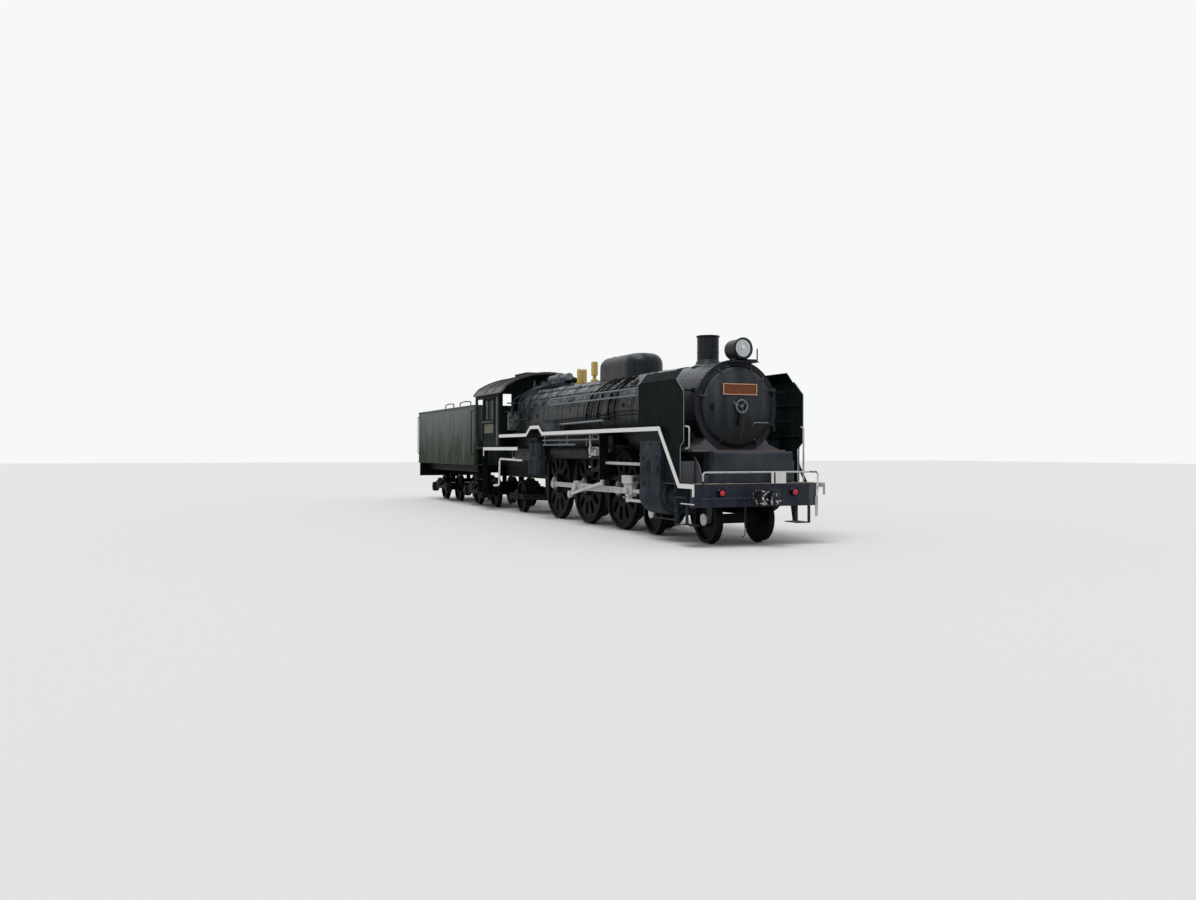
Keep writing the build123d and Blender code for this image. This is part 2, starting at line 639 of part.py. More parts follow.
def deflector(side):
    """Smoke deflector: one tall sheet with a bent-in top edge and its stays."""
    low_front = DEFLECTOR_FRONT - 130
    seat_x = CYL_FRONT + SEAT
    with BuildPart() as piece:
        slab(
            [
                (DEFLECTOR_REAR, BOARD_Z),
                (DEFLECTOR_REAR, FOLD_Z - 50),
                (DEFLECTOR_REAR + 60, FOLD_Z),
                (DEFLECTOR_FRONT - 290, FOLD_Z),
                (DEFLECTOR_FRONT, FOLD_Z - 250),
                (DEFLECTOR_FRONT, BOARD_Z - 285),
                (low_front, BOARD_Z - 385),
                (low_front, DECK_Z),
                (seat_x, DECK_Z),
                (seat_x, BOARD_Z),
            ],
            DEFLECTOR_Y,
            DEFLECTOR_Y + DEFLECTOR_T,
            side,
        )
        fold_length = DEFLECTOR_FRONT - DEFLECTOR_REAR - 390
        with BuildSketch(Plane.YZ.offset(DEFLECTOR_REAR + 60)) as fold:
            with BuildLine():
                Polyline(
                    (side * (DEFLECTOR_Y + DEFLECTOR_T), FOLD_Z),
                    (side * (DEFLECTOR_Y + DEFLECTOR_T - FOLD_IN), DEFLECTOR_TOP),
                    (side * (DEFLECTOR_Y - FOLD_IN), DEFLECTOR_TOP),
                    (side * DEFLECTOR_Y, FOLD_Z),
                    close=True,
                )
            make_face()
        extrude(fold.sketch, amount=fold_length)
        for x, z in DEFLECTOR_STAYS:
            foot = sqrt(SMOKEBOX_R**2 - (z - BOILER_Z) ** 2)
            lug(x, z, 45, foot - 30, foot + 40, side)
            lug(x, z, 16, foot, DEFLECTOR_Y, side)
            lug(x, z, 45, DEFLECTOR_Y - 20, DEFLECTOR_Y, side)
        along(SMOKEBOX_REAR, SMOKEBOX_FRONT, 0, BOILER_Z, SMOKEBOX_R + SEAT, mode=Mode.SUBTRACT)
    finish(piece, f"smoke_deflector_{side_name(side)}")


for side in (RIGHT, LEFT):
    coupling_rod(side)
    crosshead(side)
    connecting_rod(side)
    valve_gear(side)
    slide_bars(side)
    cylinder(side)
    running_board(side)
    deflector(side)


# Main frame: two side plates with axle bearings, cross members and both truck pivots
STRETCHER_LOW = FRAME_LOW + 360
STRETCHERS = [  # front, rear, low, high
    (FRAME_FRONT, FRAME_FRONT - 80, TRUCK_TOP, DECK_Z - DECK_T),
    (LEAD_PIVOT + 550, LEAD_PIVOT - 350, TRUCK_TOP, FRAME_TOP),
    (DRIVER_XS[0] + 550, DRIVER_XS[0] + 450, STRETCHER_LOW, FRAME_TOP),
    (X0 + DRIVER_SPACING / 2 + 25, X0 + DRIVER_SPACING / 2 - 25, STRETCHER_LOW, FRAME_TOP),
    (X0 - DRIVER_SPACING / 2 + 25, X0 - DRIVER_SPACING / 2 - 25, STRETCHER_LOW, FRAME_TOP),
    (TRAIL_PIVOT + 100, TRAIL_PIVOT - 100, TRUCK_TOP, FRAME_TOP),
    (FRAME_REAR + 440, FRAME_REAR, TRUCK_TOP, FRAME_TOP),
]
HORN_HALF = 160  # half the width of an axle's bearing cheek
CENTRE_PLATE_R = 230
CENTRE_PLATE_Z = CARRIER_Z + 270
BOGIE_PIN_R = 90
TRUCK_PIN_R = 60
TRUCK_LOW, TRUCK_HIGH = CARRIER_Z - 75, CARRIER_Z + 75
DRAW_PIN_R = 45
DRAW_Z = TRUCK_TOP + 110
DRAWBAR_HALF = 30
DRAW_SLOT_HALF = 50

with BuildPart() as main_frame:
    for side in (RIGHT, LEFT):
        slab(
            [
                (FRAME_REAR, TRUCK_TOP),
                (DRIVER_XS[2] - 1010, TRUCK_TOP),
                (DRIVER_XS[2] - 750, FRAME_LOW),
                (DRIVER_XS[0] + 800, FRAME_LOW),
                (DRIVER_XS[0] + 1010, TRUCK_TOP),
                (FRAME_FRONT, TRUCK_TOP),
                (FRAME_FRONT, DECK_Z - DECK_T),
                (CYL_FRONT + 70, DECK_Z - DECK_T),
                (CYL_FRONT + 70, FRAME_TOP),
                (FRAME_REAR, FRAME_TOP),
            ],
            FRAME_Y,
            FRAME_OUT,
            side,
        )
        for axle_x in DRIVER_XS:
            block(
                axle_x - HORN_HALF, axle_x + HORN_HALF, FRAME_Y - 30, FRAME_Y, FRAME_LOW, DRIVER_Z + 170, side
            )
            for x_slot in (axle_x - HORN_HALF - 30, axle_x + HORN_HALF + 5):
                block(
                    x_slot, x_slot + 25, FRAME_Y, FRAME_OUT, FRAME_LOW, DRIVER_Z + 150, side,
                    mode=Mode.SUBTRACT,
                )
    for x_front, x_rear, z_low, z_high in STRETCHERS:
        block(x_rear, x_front, -FRAME_Y, FRAME_Y, z_low, z_high)
    for axle_x in DRIVER_XS:
        lug(axle_x, DRIVER_Z, DRIVER_AXLE_R + SEAT, -FRAME_OUT, FRAME_OUT, mode=Mode.SUBTRACT)
    post(LEAD_PIVOT, 0, CENTRE_PLATE_Z + SEAT, TRUCK_TOP, CENTRE_PLATE_R)
    post(LEAD_PIVOT, 0, CARRIER_Z + 50, CENTRE_PLATE_Z + SEAT, BOGIE_PIN_R)
    post(TRAIL_PIVOT, 0, TRUCK_LOW - SEAT, TRUCK_TOP, TRUCK_PIN_R)
    post(TRAIL_PIVOT, 0, TRUCK_LOW - 30, TRUCK_LOW - SEAT, TRUCK_PIN_R + 30)
    block(FRAME_REAR - 60, FRAME_REAR, -700, 700, TRUCK_TOP, FRAME_TOP)
    block(
        FRAME_REAR - 60, DRAW_PIN + 250, -160, 160, DRAW_Z - DRAW_SLOT_HALF, DRAW_Z + DRAW_SLOT_HALF,
        mode=Mode.SUBTRACT,
    )
    post(DRAW_PIN, 0, TRUCK_TOP, FRAME_TOP, DRAW_PIN_R)
finish(main_frame, "main_frame")


# Leading bogie: equalised bar sides, bolster with the centre pin's socket
LEAD_HALF = LEAD_BASE / 2
with BuildPart() as leading_bogie_frame:
    for side in (RIGHT, LEFT):
        slab(
            [
                (LEAD_PIVOT - LEAD_HALF - 190, CARRIER_Z - 100),
                (LEAD_PIVOT - LEAD_HALF + 200, CARRIER_Z - 100),
                (LEAD_PIVOT - LEAD_HALF + 400, CARRIER_Z + 50),
                (LEAD_PIVOT + LEAD_HALF - 400, CARRIER_Z + 50),
                (LEAD_PIVOT + LEAD_HALF - 200, CARRIER_Z - 100),
                (LEAD_PIVOT + LEAD_HALF + 190, CARRIER_Z - 100),
                (LEAD_PIVOT + LEAD_HALF + 190, CARRIER_Z + 130),
                (LEAD_PIVOT + LEAD_HALF - 240, CARRIER_Z + 160),
                (LEAD_PIVOT + 420, CENTRE_PLATE_Z - 10),
                (LEAD_PIVOT - 420, CENTRE_PLATE_Z - 10),
                (LEAD_PIVOT - LEAD_HALF + 240, CARRIER_Z + 160),
                (LEAD_PIVOT - LEAD_HALF - 190, CARRIER_Z + 130),
            ],
            FRAME_Y,
            FRAME_OUT,
            side,
        )
    block(LEAD_PIVOT - 300, LEAD_PIVOT + 300, -FRAME_Y, FRAME_Y, CARRIER_Z + 70, CENTRE_PLATE_Z)
    for end in (-1, 1):
        middle = LEAD_PIVOT + end * (LEAD_HALF + 150)
        block(middle - 25, middle + 25, -FRAME_Y, FRAME_Y, CARRIER_Z - 70, CARRIER_Z + 110)
    post(LEAD_PIVOT, 0, CARRIER_Z + 50, CENTRE_PLATE_Z, BOGIE_PIN_R + SEAT, mode=Mode.SUBTRACT)
    for axle_x in (LEAD_PIVOT + LEAD_HALF, LEAD_PIVOT - LEAD_HALF):
        lug(axle_x, CARRIER_Z, CARRIER_AXLE_R + SEAT, -FRAME_OUT, FRAME_OUT, mode=Mode.SUBTRACT)
finish(leading_bogie_frame, "leading_bogie_frame")

for index, axle_x in enumerate((LEAD_PIVOT + LEAD_HALF, LEAD_PIVOT - LEAD_HALF), start=1):
    carrying_wheelset(f"leading_wheelset_{index}", axle_x, end_y=OUTER_FACE + 40, end_r=110)


# Trailing truck: outside-journal frame whose arms meet at the pivot ahead
TRUCK_Y = 690
TRUCK_T = 70
TRUCK_REAR = TRAIL_AXLE - 590


def truck_plan(grow, nose):
    """Plan of the truck frame's edge, from its square rear to the pivot."""
    return [
        (TRUCK_REAR - grow, TRUCK_Y + grow),
        (TRAIL_AXLE + 520 + grow, TRUCK_Y + grow),
        (nose, 70 + grow),
        (nose, -70 - grow),
        (TRAIL_AXLE + 520 + grow, -TRUCK_Y - grow),
        (TRUCK_REAR - grow, -TRUCK_Y - grow),
    ]


with BuildPart() as trailing_truck_frame:
    for grow, nose, mode in ((TRUCK_T, TRAIL_PIVOT + 20, Mode.ADD), (0, TRAIL_PIVOT - 150, Mode.SUBTRACT)):
        with BuildSketch(Plane.XY.offset(TRUCK_LOW)) as plan:
            with BuildLine():
                Polyline(*truck_plan(grow, nose), close=True)
            make_face()
        extrude(plan.sketch, amount=TRUCK_HIGH - TRUCK_LOW, mode=mode)
    post(TRAIL_PIVOT, 0, TRUCK_LOW, TRUCK_HIGH, TRUCK_PIN_R + 60)
    post(TRAIL_PIVOT, 0, TRUCK_LOW, TRUCK_HIGH, TRUCK_PIN_R + SEAT, mode=Mode.SUBTRACT)
    for side in (RIGHT, LEFT):
        block(
            TRAIL_AXLE - 150, TRAIL_AXLE + 150, TRUCK_Y, TRUCK_Y + TRUCK_T + 20,
            CARRIER_Z - 130, CARRIER_Z + 170, side,
        )
        lug(TRAIL_AXLE, CARRIER_Z, JOURNAL_R + SEAT, TRUCK_Y, TRUCK_Y + TRUCK_T, side, mode=Mode.SUBTRACT)
finish(trailing_truck_frame, "trailing_truck_frame")
carrying_wheelset("trailing_wheelset", TRAIL_AXLE, end_y=TRUCK_Y + TRUCK_T - SEAT, end_r=JOURNAL_R)


# Boiler: lagged barrel with its bands, and the firebox behind it
with BuildPart() as boiler:
    along(FIREBOX_FRONT, SMOKEBOX_REAR, 0, BOILER_Z, BOILER_R)
    for band_x in BAND_XS:
        along(band_x - BAND_W / 2, band_x + BAND_W / 2, 0, BOILER_Z, BOILER_R + BAND_T)
    with BuildSketch(Plane.YZ.offset(FIREBOX_REAR)) as wrapper:
        with Locations((0, BOILER_Z)):
            Circle(BOILER_R)
        with Locations((0, (BOILER_Z + FIREBOX_LOW) / 2)):
            Rectangle(2 * BOILER_R, BOILER_Z - FIREBOX_LOW)
    extrude(wrapper.sketch, amount=FIREBOX_LENGTH)
finish(boiler, "boiler")

with BuildPart() as ashpan:
    for z, narrow in ((FIREBOX_LOW, 0), (FRAME_TOP, 200)):
        with BuildSketch(Plane.XY.offset(z)):
            with Locations(((FIREBOX_FRONT + FIREBOX_REAR) / 2, 0)):
                Rectangle(FIREBOX_LENGTH - narrow, 2 * (BOILER_R - narrow))
    loft()
finish(ashpan, "ashpan")

RAILS = [(930, BOILER_Z + 460), (950, BOILER_Z + 310)]  # distance from the middle and height
RAIL_ENDS = (SMOKEBOX_REAR - 5700, SMOKEBOX_REAR - 560)
STANCHION_XS = [SMOKEBOX_REAR - 700] + [band_x - 510 for band_x in BAND_XS[:5]]
with BuildPart() as boiler_handrails:
    for side in (RIGHT, LEFT):
        for y, z in RAILS:
            along(*RAIL_ENDS, side * y, z, 16)
            for x in STANCHION_XS:
                lug(x, z, 12, BOILER_R / 2, y, side)
        for x in STANCHION_XS:
            block(x - 8, x + 8, RAILS[0][0] - 9, RAILS[0][0] + 9, *sorted((RAILS[0][1], RAILS[1][1])), side)
    along(RAIL_ENDS[0] - 10, RAIL_ENDS[1] + 10, 0, BOILER_Z, BOILER_R + SEAT, mode=Mode.SUBTRACT)
finish(boiler_handrails, "boiler_handrails")


# Smokebox: hollow drum with the door ring at its front, on a saddle with a flared skirt
RING_W = 110
RING_PROUD = 22
RING_PLATE = 30
HINGE_ZS = (BOILER_Z - 330, BOILER_Z + 330)
with BuildPart() as smokebox:
    along(SMOKEBOX_REAR, SMOKEBOX_FRONT, 0, BOILER_Z, SMOKEBOX_R)
    along(SMOKEBOX_FRONT - RING_W, SMOKEBOX_FRONT, 0, BOILER_Z, SMOKEBOX_R + RING_PROUD)
    along(
        SMOKEBOX_REAR + 20, SMOKEBOX_FRONT - RING_PLATE, 0, BOILER_Z, SMOKEBOX_R - SMOKEBOX_WALL,
        mode=Mode.SUBTRACT,
    )
    along(SMOKEBOX_FRONT - RING_PLATE, SMOKEBOX_FRONT, 0, BOILER_Z, RING_R, mode=Mode.SUBTRACT)
    for z in HINGE_ZS:
        block(SMOKEBOX_FRONT, SMOKEBOX_FRONT + 60, DOOR_R + 30, DOOR_R + 75, z - 130, z - 30 - SEAT)
finish(smokebox, "smokebox")

CHIMNEY_X = LEAD_PIVOT + 100
SADDLE_TOP = BOILER_Z - 490
SKIRT_Z = BOILER_Z - 820
SKIRT_FOOT = 1000
LEDGE_T = 30
with BuildPart() as blast_pipe:
    with Locations((CHIMNEY_X, 0, BOILER_Z - SMOKEBOX_R + 300)):
        Cone(220, 110, 600)
    along(SMOKEBOX_REAR, SMOKEBOX_FRONT, 0, BOILER_Z, SMOKEBOX_R - SMOKEBOX_WALL - SEAT, mode=Mode.INTERSECT)
with BuildPart() as smokebox_saddle:
    with BuildSketch(Plane.YZ.offset(LEAD_PIVOT - 450)) as saddle:
        with BuildLine():
            Polyline(
                (-720, SADDLE_TOP),
                (720, SADDLE_TOP),
                (SADDLE_Y, SKIRT_Z - 60),
                (SADDLE_Y, FRAME_TOP),
                (-SADDLE_Y, FRAME_TOP),
                (-SADDLE_Y, SKIRT_Z - 60),
                close=True,
            )
        make_face()
    extrude(saddle.sketch, amount=CYL_FRONT - LEAD_PIVOT + 500)
    with BuildSketch(Plane.YZ.offset(CYL_FRONT + SEAT)) as skirt:
        with BuildLine():
            Polyline(
                (-590, SADDLE_TOP - 10),
                (590, SADDLE_TOP - 10),
                (720, SKIRT_Z + 112),
                (SKIRT_FOOT, SKIRT_Z),
                (-SKIRT_FOOT, SKIRT_Z),
                (-720, SKIRT_Z + 112),
                close=True,
            )
        make_face()
    extrude(skirt.sketch, amount=SMOKEBOX_FRONT - 10 - CYL_FRONT)
    block(CYL_FRONT + SEAT, SMOKEBOX_FRONT + 130, -SKIRT_FOOT, SKIRT_FOOT, SKIRT_Z - LEDGE_T, SKIRT_Z)
    along(SMOKEBOX_REAR, SMOKEBOX_FRONT, 0, BOILER_Z, SMOKEBOX_R + SEAT, mode=Mode.SUBTRACT)
    along(
        SMOKEBOX_FRONT - RING_W - SEAT, SMOKEBOX_FRONT + SEAT, 0, BOILER_Z, SMOKEBOX_R + RING_PROUD + SEAT,
        mode=Mode.SUBTRACT,
    )
    add(blast_pipe.part)
finish(smokebox_saddle, "smokebox_saddle")

HINGE_Y = DOOR_R + 50
HINGE_X = SMOKEBOX_FRONT + 60
HINGE_HALF = 30
DISH = [(40, DOOR_R), (62, DOOR_R - 40), (100, 470), (125, 240), (135, 0)]  # ahead of the ring, radius
with BuildPart() as dish:
    with BuildSketch(Plane.XZ):
        with BuildLine():
            Polyline(
                (SMOKEBOX_FRONT + 70, 0),
                (SMOKEBOX_FRONT + SEAT, DOOR_R - 90),
                (SMOKEBOX_FRONT + SEAT, DOOR_R),
                *[(SMOKEBOX_FRONT + ahead, radius) for ahead, radius in DISH],
                close=True,
            )
        make_face()
    revolve(axis=Axis.X)
with BuildPart() as smokebox_door:
    add(dish.part.moved(Location((0, 0, BOILER_Z))))
    for z in HINGE_ZS:
        block(SMOKEBOX_FRONT + 35, SMOKEBOX_FRONT + 75, DOOR_R - 185, HINGE_Y, z - 28, z + 28)
        post(HINGE_X, HINGE_Y, z - HINGE_HALF, z + HINGE_HALF, 28)
    along(SMOKEBOX_FRONT + 120, SMOKEBOX_FRONT + 200, 0, BOILER_Z, 40)
    for ahead, radius in ((150, 90), (182, 108)):
        with BuildSketch(Plane.YZ.offset(SMOKEBOX_FRONT + ahead)) as wheel:
            with Locations((0, BOILER_Z)):
                Circle(radius)
                Circle(radius - 26, mode=Mode.SUBTRACT)
        extrude(wheel.sketch, amount=16)
        for turn in range(3):
            with Locations(Location((SMOKEBOX_FRONT + ahead + 8, 0, BOILER_Z), (120 * turn, 0, 0))):
                with Locations((0, 0, radius / 2)):
                    Box(16, 22, radius - 10)
    with Locations(Location((SMOKEBOX_FRONT + 160, -15, BOILER_Z - 170), (5, 0, 0))):
        Cylinder(14, 320)
finish(smokebox_door, "smokebox_door")


# Chimney, dome casing and the fittings on the boiler's top
CHIMNEY_R = 214
CHIMNEY_RIM_R = 226
CHIMNEY_WALL = 35
CHIMNEY_RISE = 580  # above the smokebox's top line
CHIMNEY_TOP = BOILER_Z + SMOKEBOX_R + CHIMNEY_RISE
with BuildPart() as chimney:
    turned(
        [
            (0, -CHIMNEY_RISE - 160),
            (CHIMNEY_R + 120, -CHIMNEY_RISE - 55),
            (CHIMNEY_R + 120, -CHIMNEY_RISE - 35),
            (CHIMNEY_R + 40, -CHIMNEY_RISE + 10),
            (CHIMNEY_R, -CHIMNEY_RISE + 100),
            (CHIMNEY_R, -40),
            (CHIMNEY_RIM_R, -30),
            (CHIMNEY_RIM_R, 0),
            (0, 0),
        ],
        CHIMNEY_X,
        0,
        CHIMNEY_TOP,
    )
    along(SMOKEBOX_REAR, SMOKEBOX_FRONT, 0, BOILER_Z, SMOKEBOX_R + SEAT, mode=Mode.SUBTRACT)
    post(
        CHIMNEY_X, 0, CHIMNEY_TOP - CHIMNEY_RISE + 80, CHIMNEY_TOP, CHIMNEY_R - CHIMNEY_WALL,
        mode=Mode.SUBTRACT,
    )
finish(chimney, "chimney")

DOME_FRONT = DRIVER_XS[0] + 220
DOME_LENGTH = 2140
DOME_HALF = 450
DOME_TOP = BOILER_Z + BOILER_R + 470
with BuildPart() as dome:
    with BuildSketch(Plane.XY.offset(BOILER_Z + 300)) as plan:
        with Locations((DOME_FRONT - DOME_LENGTH / 2, 0)):
            RectangleRounded(DOME_LENGTH, 2 * DOME_HALF, DOME_HALF - 20)
    extrude(plan.sketch, amount=DOME_TOP - BOILER_Z - 300)
    fillet(dome.edges().group_by(Axis.Z)[-1], 250)
    along(
        DOME_FRONT - DOME_LENGTH - 10, DOME_FRONT + 10, 0, BOILER_Z, BOILER_R + BAND_T + SEAT,
        mode=Mode.SUBTRACT,
    )
finish(dome, "dome")

VALVES_X = X0 - 1850
VALVES_Z = BOILER_Z + BOILER_R + 20
VALVE_PITCH = 138
with BuildPart() as safety_valves:
    block(VALVES_X - 110, VALVES_X + 110, -170, 170, VALVES_Z - 120, VALVES_Z)
    for side in (RIGHT, LEFT):
        turned(
            [(0, 0), (62, 0), (62, 285), (66, 290), (66, 320), (54, 335), (54, 360), (0, 360)],
            VALVES_X,
            side * VALVE_PITCH / 2,
            VALVES_Z,
        )
    along(VALVES_X - 300, VALVES_X + 300, 0, BOILER_Z, BOILER_R + SEAT, mode=Mode.SUBTRACT)
finish(safety_valves, "safety_valves")

WHISTLE_X = X0 - 930
with BuildPart() as whistle:
    turned(
        [
            (0, 0),
            (95, 0),
            (95, 60),
            (45, 80),
            (45, 160),
            (82, 170),
            (82, 490),
            (55, 510),
            (20, 520),
            (0, 520),
        ],
        WHISTLE_X,
        -40,
        BOILER_Z + BOILER_R - 10,
    )
    along(WHISTLE_X - 200, WHISTLE_X + 200, 0, BOILER_Z, BOILER_R + BAND_T + SEAT, mode=Mode.SUBTRACT)
finish(whistle, "whistle")

GENERATOR_X = FIREBOX_FRONT - 350  # turbine's front face
GENERATOR_Z = BOILER_Z + BOILER_R + 255
GENERATOR_DRUMS = [(-800, -200, 100), (-200, 0, 130), (0, 300, 55), (300, 600, 95)]  # rear, front, radius
with BuildPart() as generator:
    for rear, front, radius in GENERATOR_DRUMS:
        along(GENERATOR_X + rear, GENERATOR_X + front, 0, GENERATOR_Z, radius)
    block(GENERATOR_X - 650, GENERATOR_X - 50, -75, 75, BOILER_Z + BOILER_R - 60, GENERATOR_Z)
    along(FIREBOX_REAR, FIREBOX_FRONT + 600, 0, BOILER_Z, BOILER_R + SEAT, mode=Mode.SUBTRACT)
finish(generator, "generator")

LAMP_Z = BOILER_Z + SMOKEBOX_R + 210
LAMP_FRONT = SMOKEBOX_FRONT + 250
LAMP_R = 190
LAMP_LENGTH = 430
with BuildPart() as headlamp:
    along(LAMP_FRONT - LAMP_LENGTH, LAMP_FRONT, 0, LAMP_Z, LAMP_R)
    fillet(headlamp.edges().filter_by(GeomType.CIRCLE).sort_by(Axis.X)[0], 80)
    along(LAMP_FRONT - 30, LAMP_FRONT, 0, LAMP_Z, LAMP_R + 14)
    along(LAMP_FRONT - 40, LAMP_FRONT, 0, LAMP_Z, LAMP_R - 20, mode=Mode.SUBTRACT)
    block(LAMP_FRONT - 350, LAMP_FRONT - 160, -90, 90, BOILER_Z + SMOKEBOX_R - 80, LAMP_Z - 60)
    block(LAMP_FRONT - 300, LAMP_FRONT - 60, -130, 330, LAMP_Z - LAMP_R - 40, LAMP_Z - LAMP_R + 5)
    along(
        SMOKEBOX_REAR, SMOKEBOX_FRONT + 400, 0, BOILER_Z, SMOKEBOX_R + RING_PROUD + SEAT, mode=Mode.SUBTRACT
    )
finish(headlamp, "headlamp")
with BuildPart() as headlamp_lens:
    along(LAMP_FRONT - 40, LAMP_FRONT - 10, 0, LAMP_Z, LAMP_R - 20 - SEAT)
finish(headlamp_lens, "headlamp_lens")


# Front platform: buffer beam, deck, lamps, grab rail and hanging steps
LAMP_Y = 768
TAIL_LAMP_R = 70
STEP_XS = (LEAD_PIVOT + 1240, LEAD_PIVOT + 1660)
STEP_BAR = 12
TREAD_ZS = (DECK_Z - 264, DECK_Z - 765)
TREAD_T = 20
GRAB_X = BEAM_FRONT + 12
GRAB_Z = DECK_Z + 204
with BuildPart() as front_platform:
    block(FRAME_FRONT, BEAM_FRONT, -DECK_Y, DECK_Y, BEAM_LOW, DECK_Z)
    block(CYL_FRONT + 70, FRAME_FRONT, -DECK_Y, DECK_Y, DECK_Z - DECK_T, DECK_Z)
    tube(
        [
            (GRAB_X, -1120, DECK_Z - 150),
            (GRAB_X, -1120, GRAB_Z),
            (GRAB_X, 1320, GRAB_Z),
            (GRAB_X, 1320, DECK_Z - 150),
        ],
        radius=17,
        bend=60,
    )
    for side in (RIGHT, LEFT):
        along(BEAM_FRONT, BEAM_FRONT + 90, side * LAMP_Y, COUPLER_Z + 80, TAIL_LAMP_R)
        for x in (STEP_XS[0], STEP_XS[1] - STEP_BAR):
            block(x, x + STEP_BAR, DECK_Y - 60, DECK_Y, TREAD_ZS[1], DECK_Z - DECK_T, side)
        for tread_z in TREAD_ZS:
            block(*STEP_XS, DECK_Y - 290, DECK_Y, tread_z, tread_z + TREAD_T, side)
finish(front_platform, "front_platform")

with BuildPart() as heater_casing:
    block(BEAM_FRONT - 290, BEAM_FRONT - 90, -830, 830, DECK_Z, DECK_Z + 580)
    fillet(heater_casing.edges().filter_by(Axis.Y).group_by(Axis.Z)[-1], 60)
finish(heater_casing, "heater_casing")

COUPLER_HEAD = 330


def coupler(name, face_x, ahead, root):
    """Knuckle coupler: shank, head with its guard arm, and the rounded knuckle."""
    back = face_x - ahead * COUPLER_HEAD
    with BuildPart() as piece:
        low_x, high_x = sorted((root, back))
        block(low_x, high_x, -75, 75, COUPLER_Z - 90, COUPLER_Z + 90)
        with BuildSketch(Plane.XY.offset(COUPLER_Z - 130)) as head:
            with BuildLine():
                Polyline(
                    (back, -160 * ahead),
                    (face_x - ahead * 190, -190 * ahead),
                    (face_x - ahead * 10, -200 * ahead),
                    (face_x, -140 * ahead),
                    (face_x - ahead * 150, -60 * ahead),
                    (face_x - ahead * 160, 90 * ahead),
                    (face_x - ahead * 60, 215 * ahead),
                    (face_x - ahead * 150, 250 * ahead),
                    (back, 150 * ahead),
                    close=True,
                )
            make_face()
            with Locations((face_x - ahead * 75, 140 * ahead)):
                Circle(75)
        extrude(head.sketch, amount=260)
    finish(piece, name)


coupler("front_coupler", X0 + FRONT_REACH, 1, BEAM_FRONT)
coupler("rear_coupler", X0 - REAR_REACH, -1, TENDER_REAR)


# Cab: hollow shell with window and door openings, floor, steps and roof
WINDOW = (CAB_REAR + 900, CAB_REAR + 1800)
WINDOW_ZS = (BOILER_Z + 40, BOILER_Z + 590)
DOORWAY = (CAB_REAR + 200, CAB_REAR + 750)
DOORWAY_TOP = BOILER_Z + 650
FRONT_WINDOW_YS = (1020, 1270)
FRONT_WINDOW_ZS = (BOILER_Z + 230, BOILER_Z + 730)


def roof_outline(drop, edge_y):
    """Closed outline under the roof's arch, lowered by a drop and cut at an edge, down to the floor."""
    slope = SHOULDER_RISE / (ROOF_Y - SHOULDER_Y)
    edge_z = EAVE_Z + slope * (ROOF_Y - edge_y) + ROOF_T - drop
    shoulder_z = EAVE_Z + SHOULDER_RISE + ROOF_T - drop
    Polyline(
        (SHOULDER_Y, shoulder_z),
        (edge_y, edge_z),
        (edge_y, CAB_FLOOR),
        (-edge_y, CAB_FLOOR),
        (-edge_y, edge_z),
        (-SHOULDER_Y, shoulder_z),
    )
    ThreePointArc((-SHOULDER_Y, shoulder_z), (0, ROOF_TOP - drop), (SHOULDER_Y, shoulder_z))


with BuildPart() as cab_body:
    with BuildSketch(Plane.YZ.offset(CAB_REAR)) as shell:
        with BuildLine():
            roof_outline(ROOF_T + SEAT, CAB_Y)
        make_face()
    extrude(shell.sketch, amount=CAB_LENGTH)
    block(
        CAB_REAR, CAB_FRONT - CAB_WALL, -CAB_Y + CAB_WALL, CAB_Y - CAB_WALL, CAB_FLOOR, ROOF_TOP,
        mode=Mode.SUBTRACT,
    )
    block(*WINDOW, -CAB_Y, CAB_Y, *WINDOW_ZS, mode=Mode.SUBTRACT)
    block(*DOORWAY, -CAB_Y, CAB_Y, CAB_FLOOR, DOORWAY_TOP, mode=Mode.SUBTRACT)
    for side in (RIGHT, LEFT):
        block(
            CAB_FRONT - CAB_WALL, CAB_FRONT, *FRONT_WINDOW_YS, *FRONT_WINDOW_ZS, side, mode=Mode.SUBTRACT
        )
    with BuildSketch(Plane.YZ.offset(CAB_FRONT - CAB_WALL)) as hole:
        with Locations((0, BOILER_Z)):
            Circle(BOILER_R + SEAT)
        with Locations((0, (BOILER_Z + CAB_FLOOR) / 2)):
            Rectangle(2 * (BOILER_R + SEAT), BOILER_Z - CAB_FLOOR)
    extrude(hole.sketch, amount=CAB_WALL, mode=Mode.SUBTRACT)
finish(cab_body, "cab_body")

ROOF_REAR_LIP = 40
ROOF_FRONT_LIP = 300


def roof_solid(drop, mode):
    """Everything under the roof's arch, lowered by a drop, over the roof's whole length."""
    with BuildSketch(Plane.YZ.offset(CAB_REAR - ROOF_REAR_LIP)) as arch:
        with BuildLine():
            roof_outline(drop, ROOF_Y)
        make_face()
    extrude(arch.sketch, amount=CAB_LENGTH + ROOF_REAR_LIP + ROOF_FRONT_LIP, mode=mode)


with BuildPart() as cab_roof:
    roof_solid(0, Mode.ADD)
    block(
        CAB_REAR + 700, CAB_FRONT - 500, -VENT_Y, VENT_Y, ROOF_TOP - 2 * VENT_RISE,
        ROOF_TOP + VENT_RISE,
    )
    roof_solid(ROOF_T, Mode.SUBTRACT)
finish(cab_roof, "cab_roof")

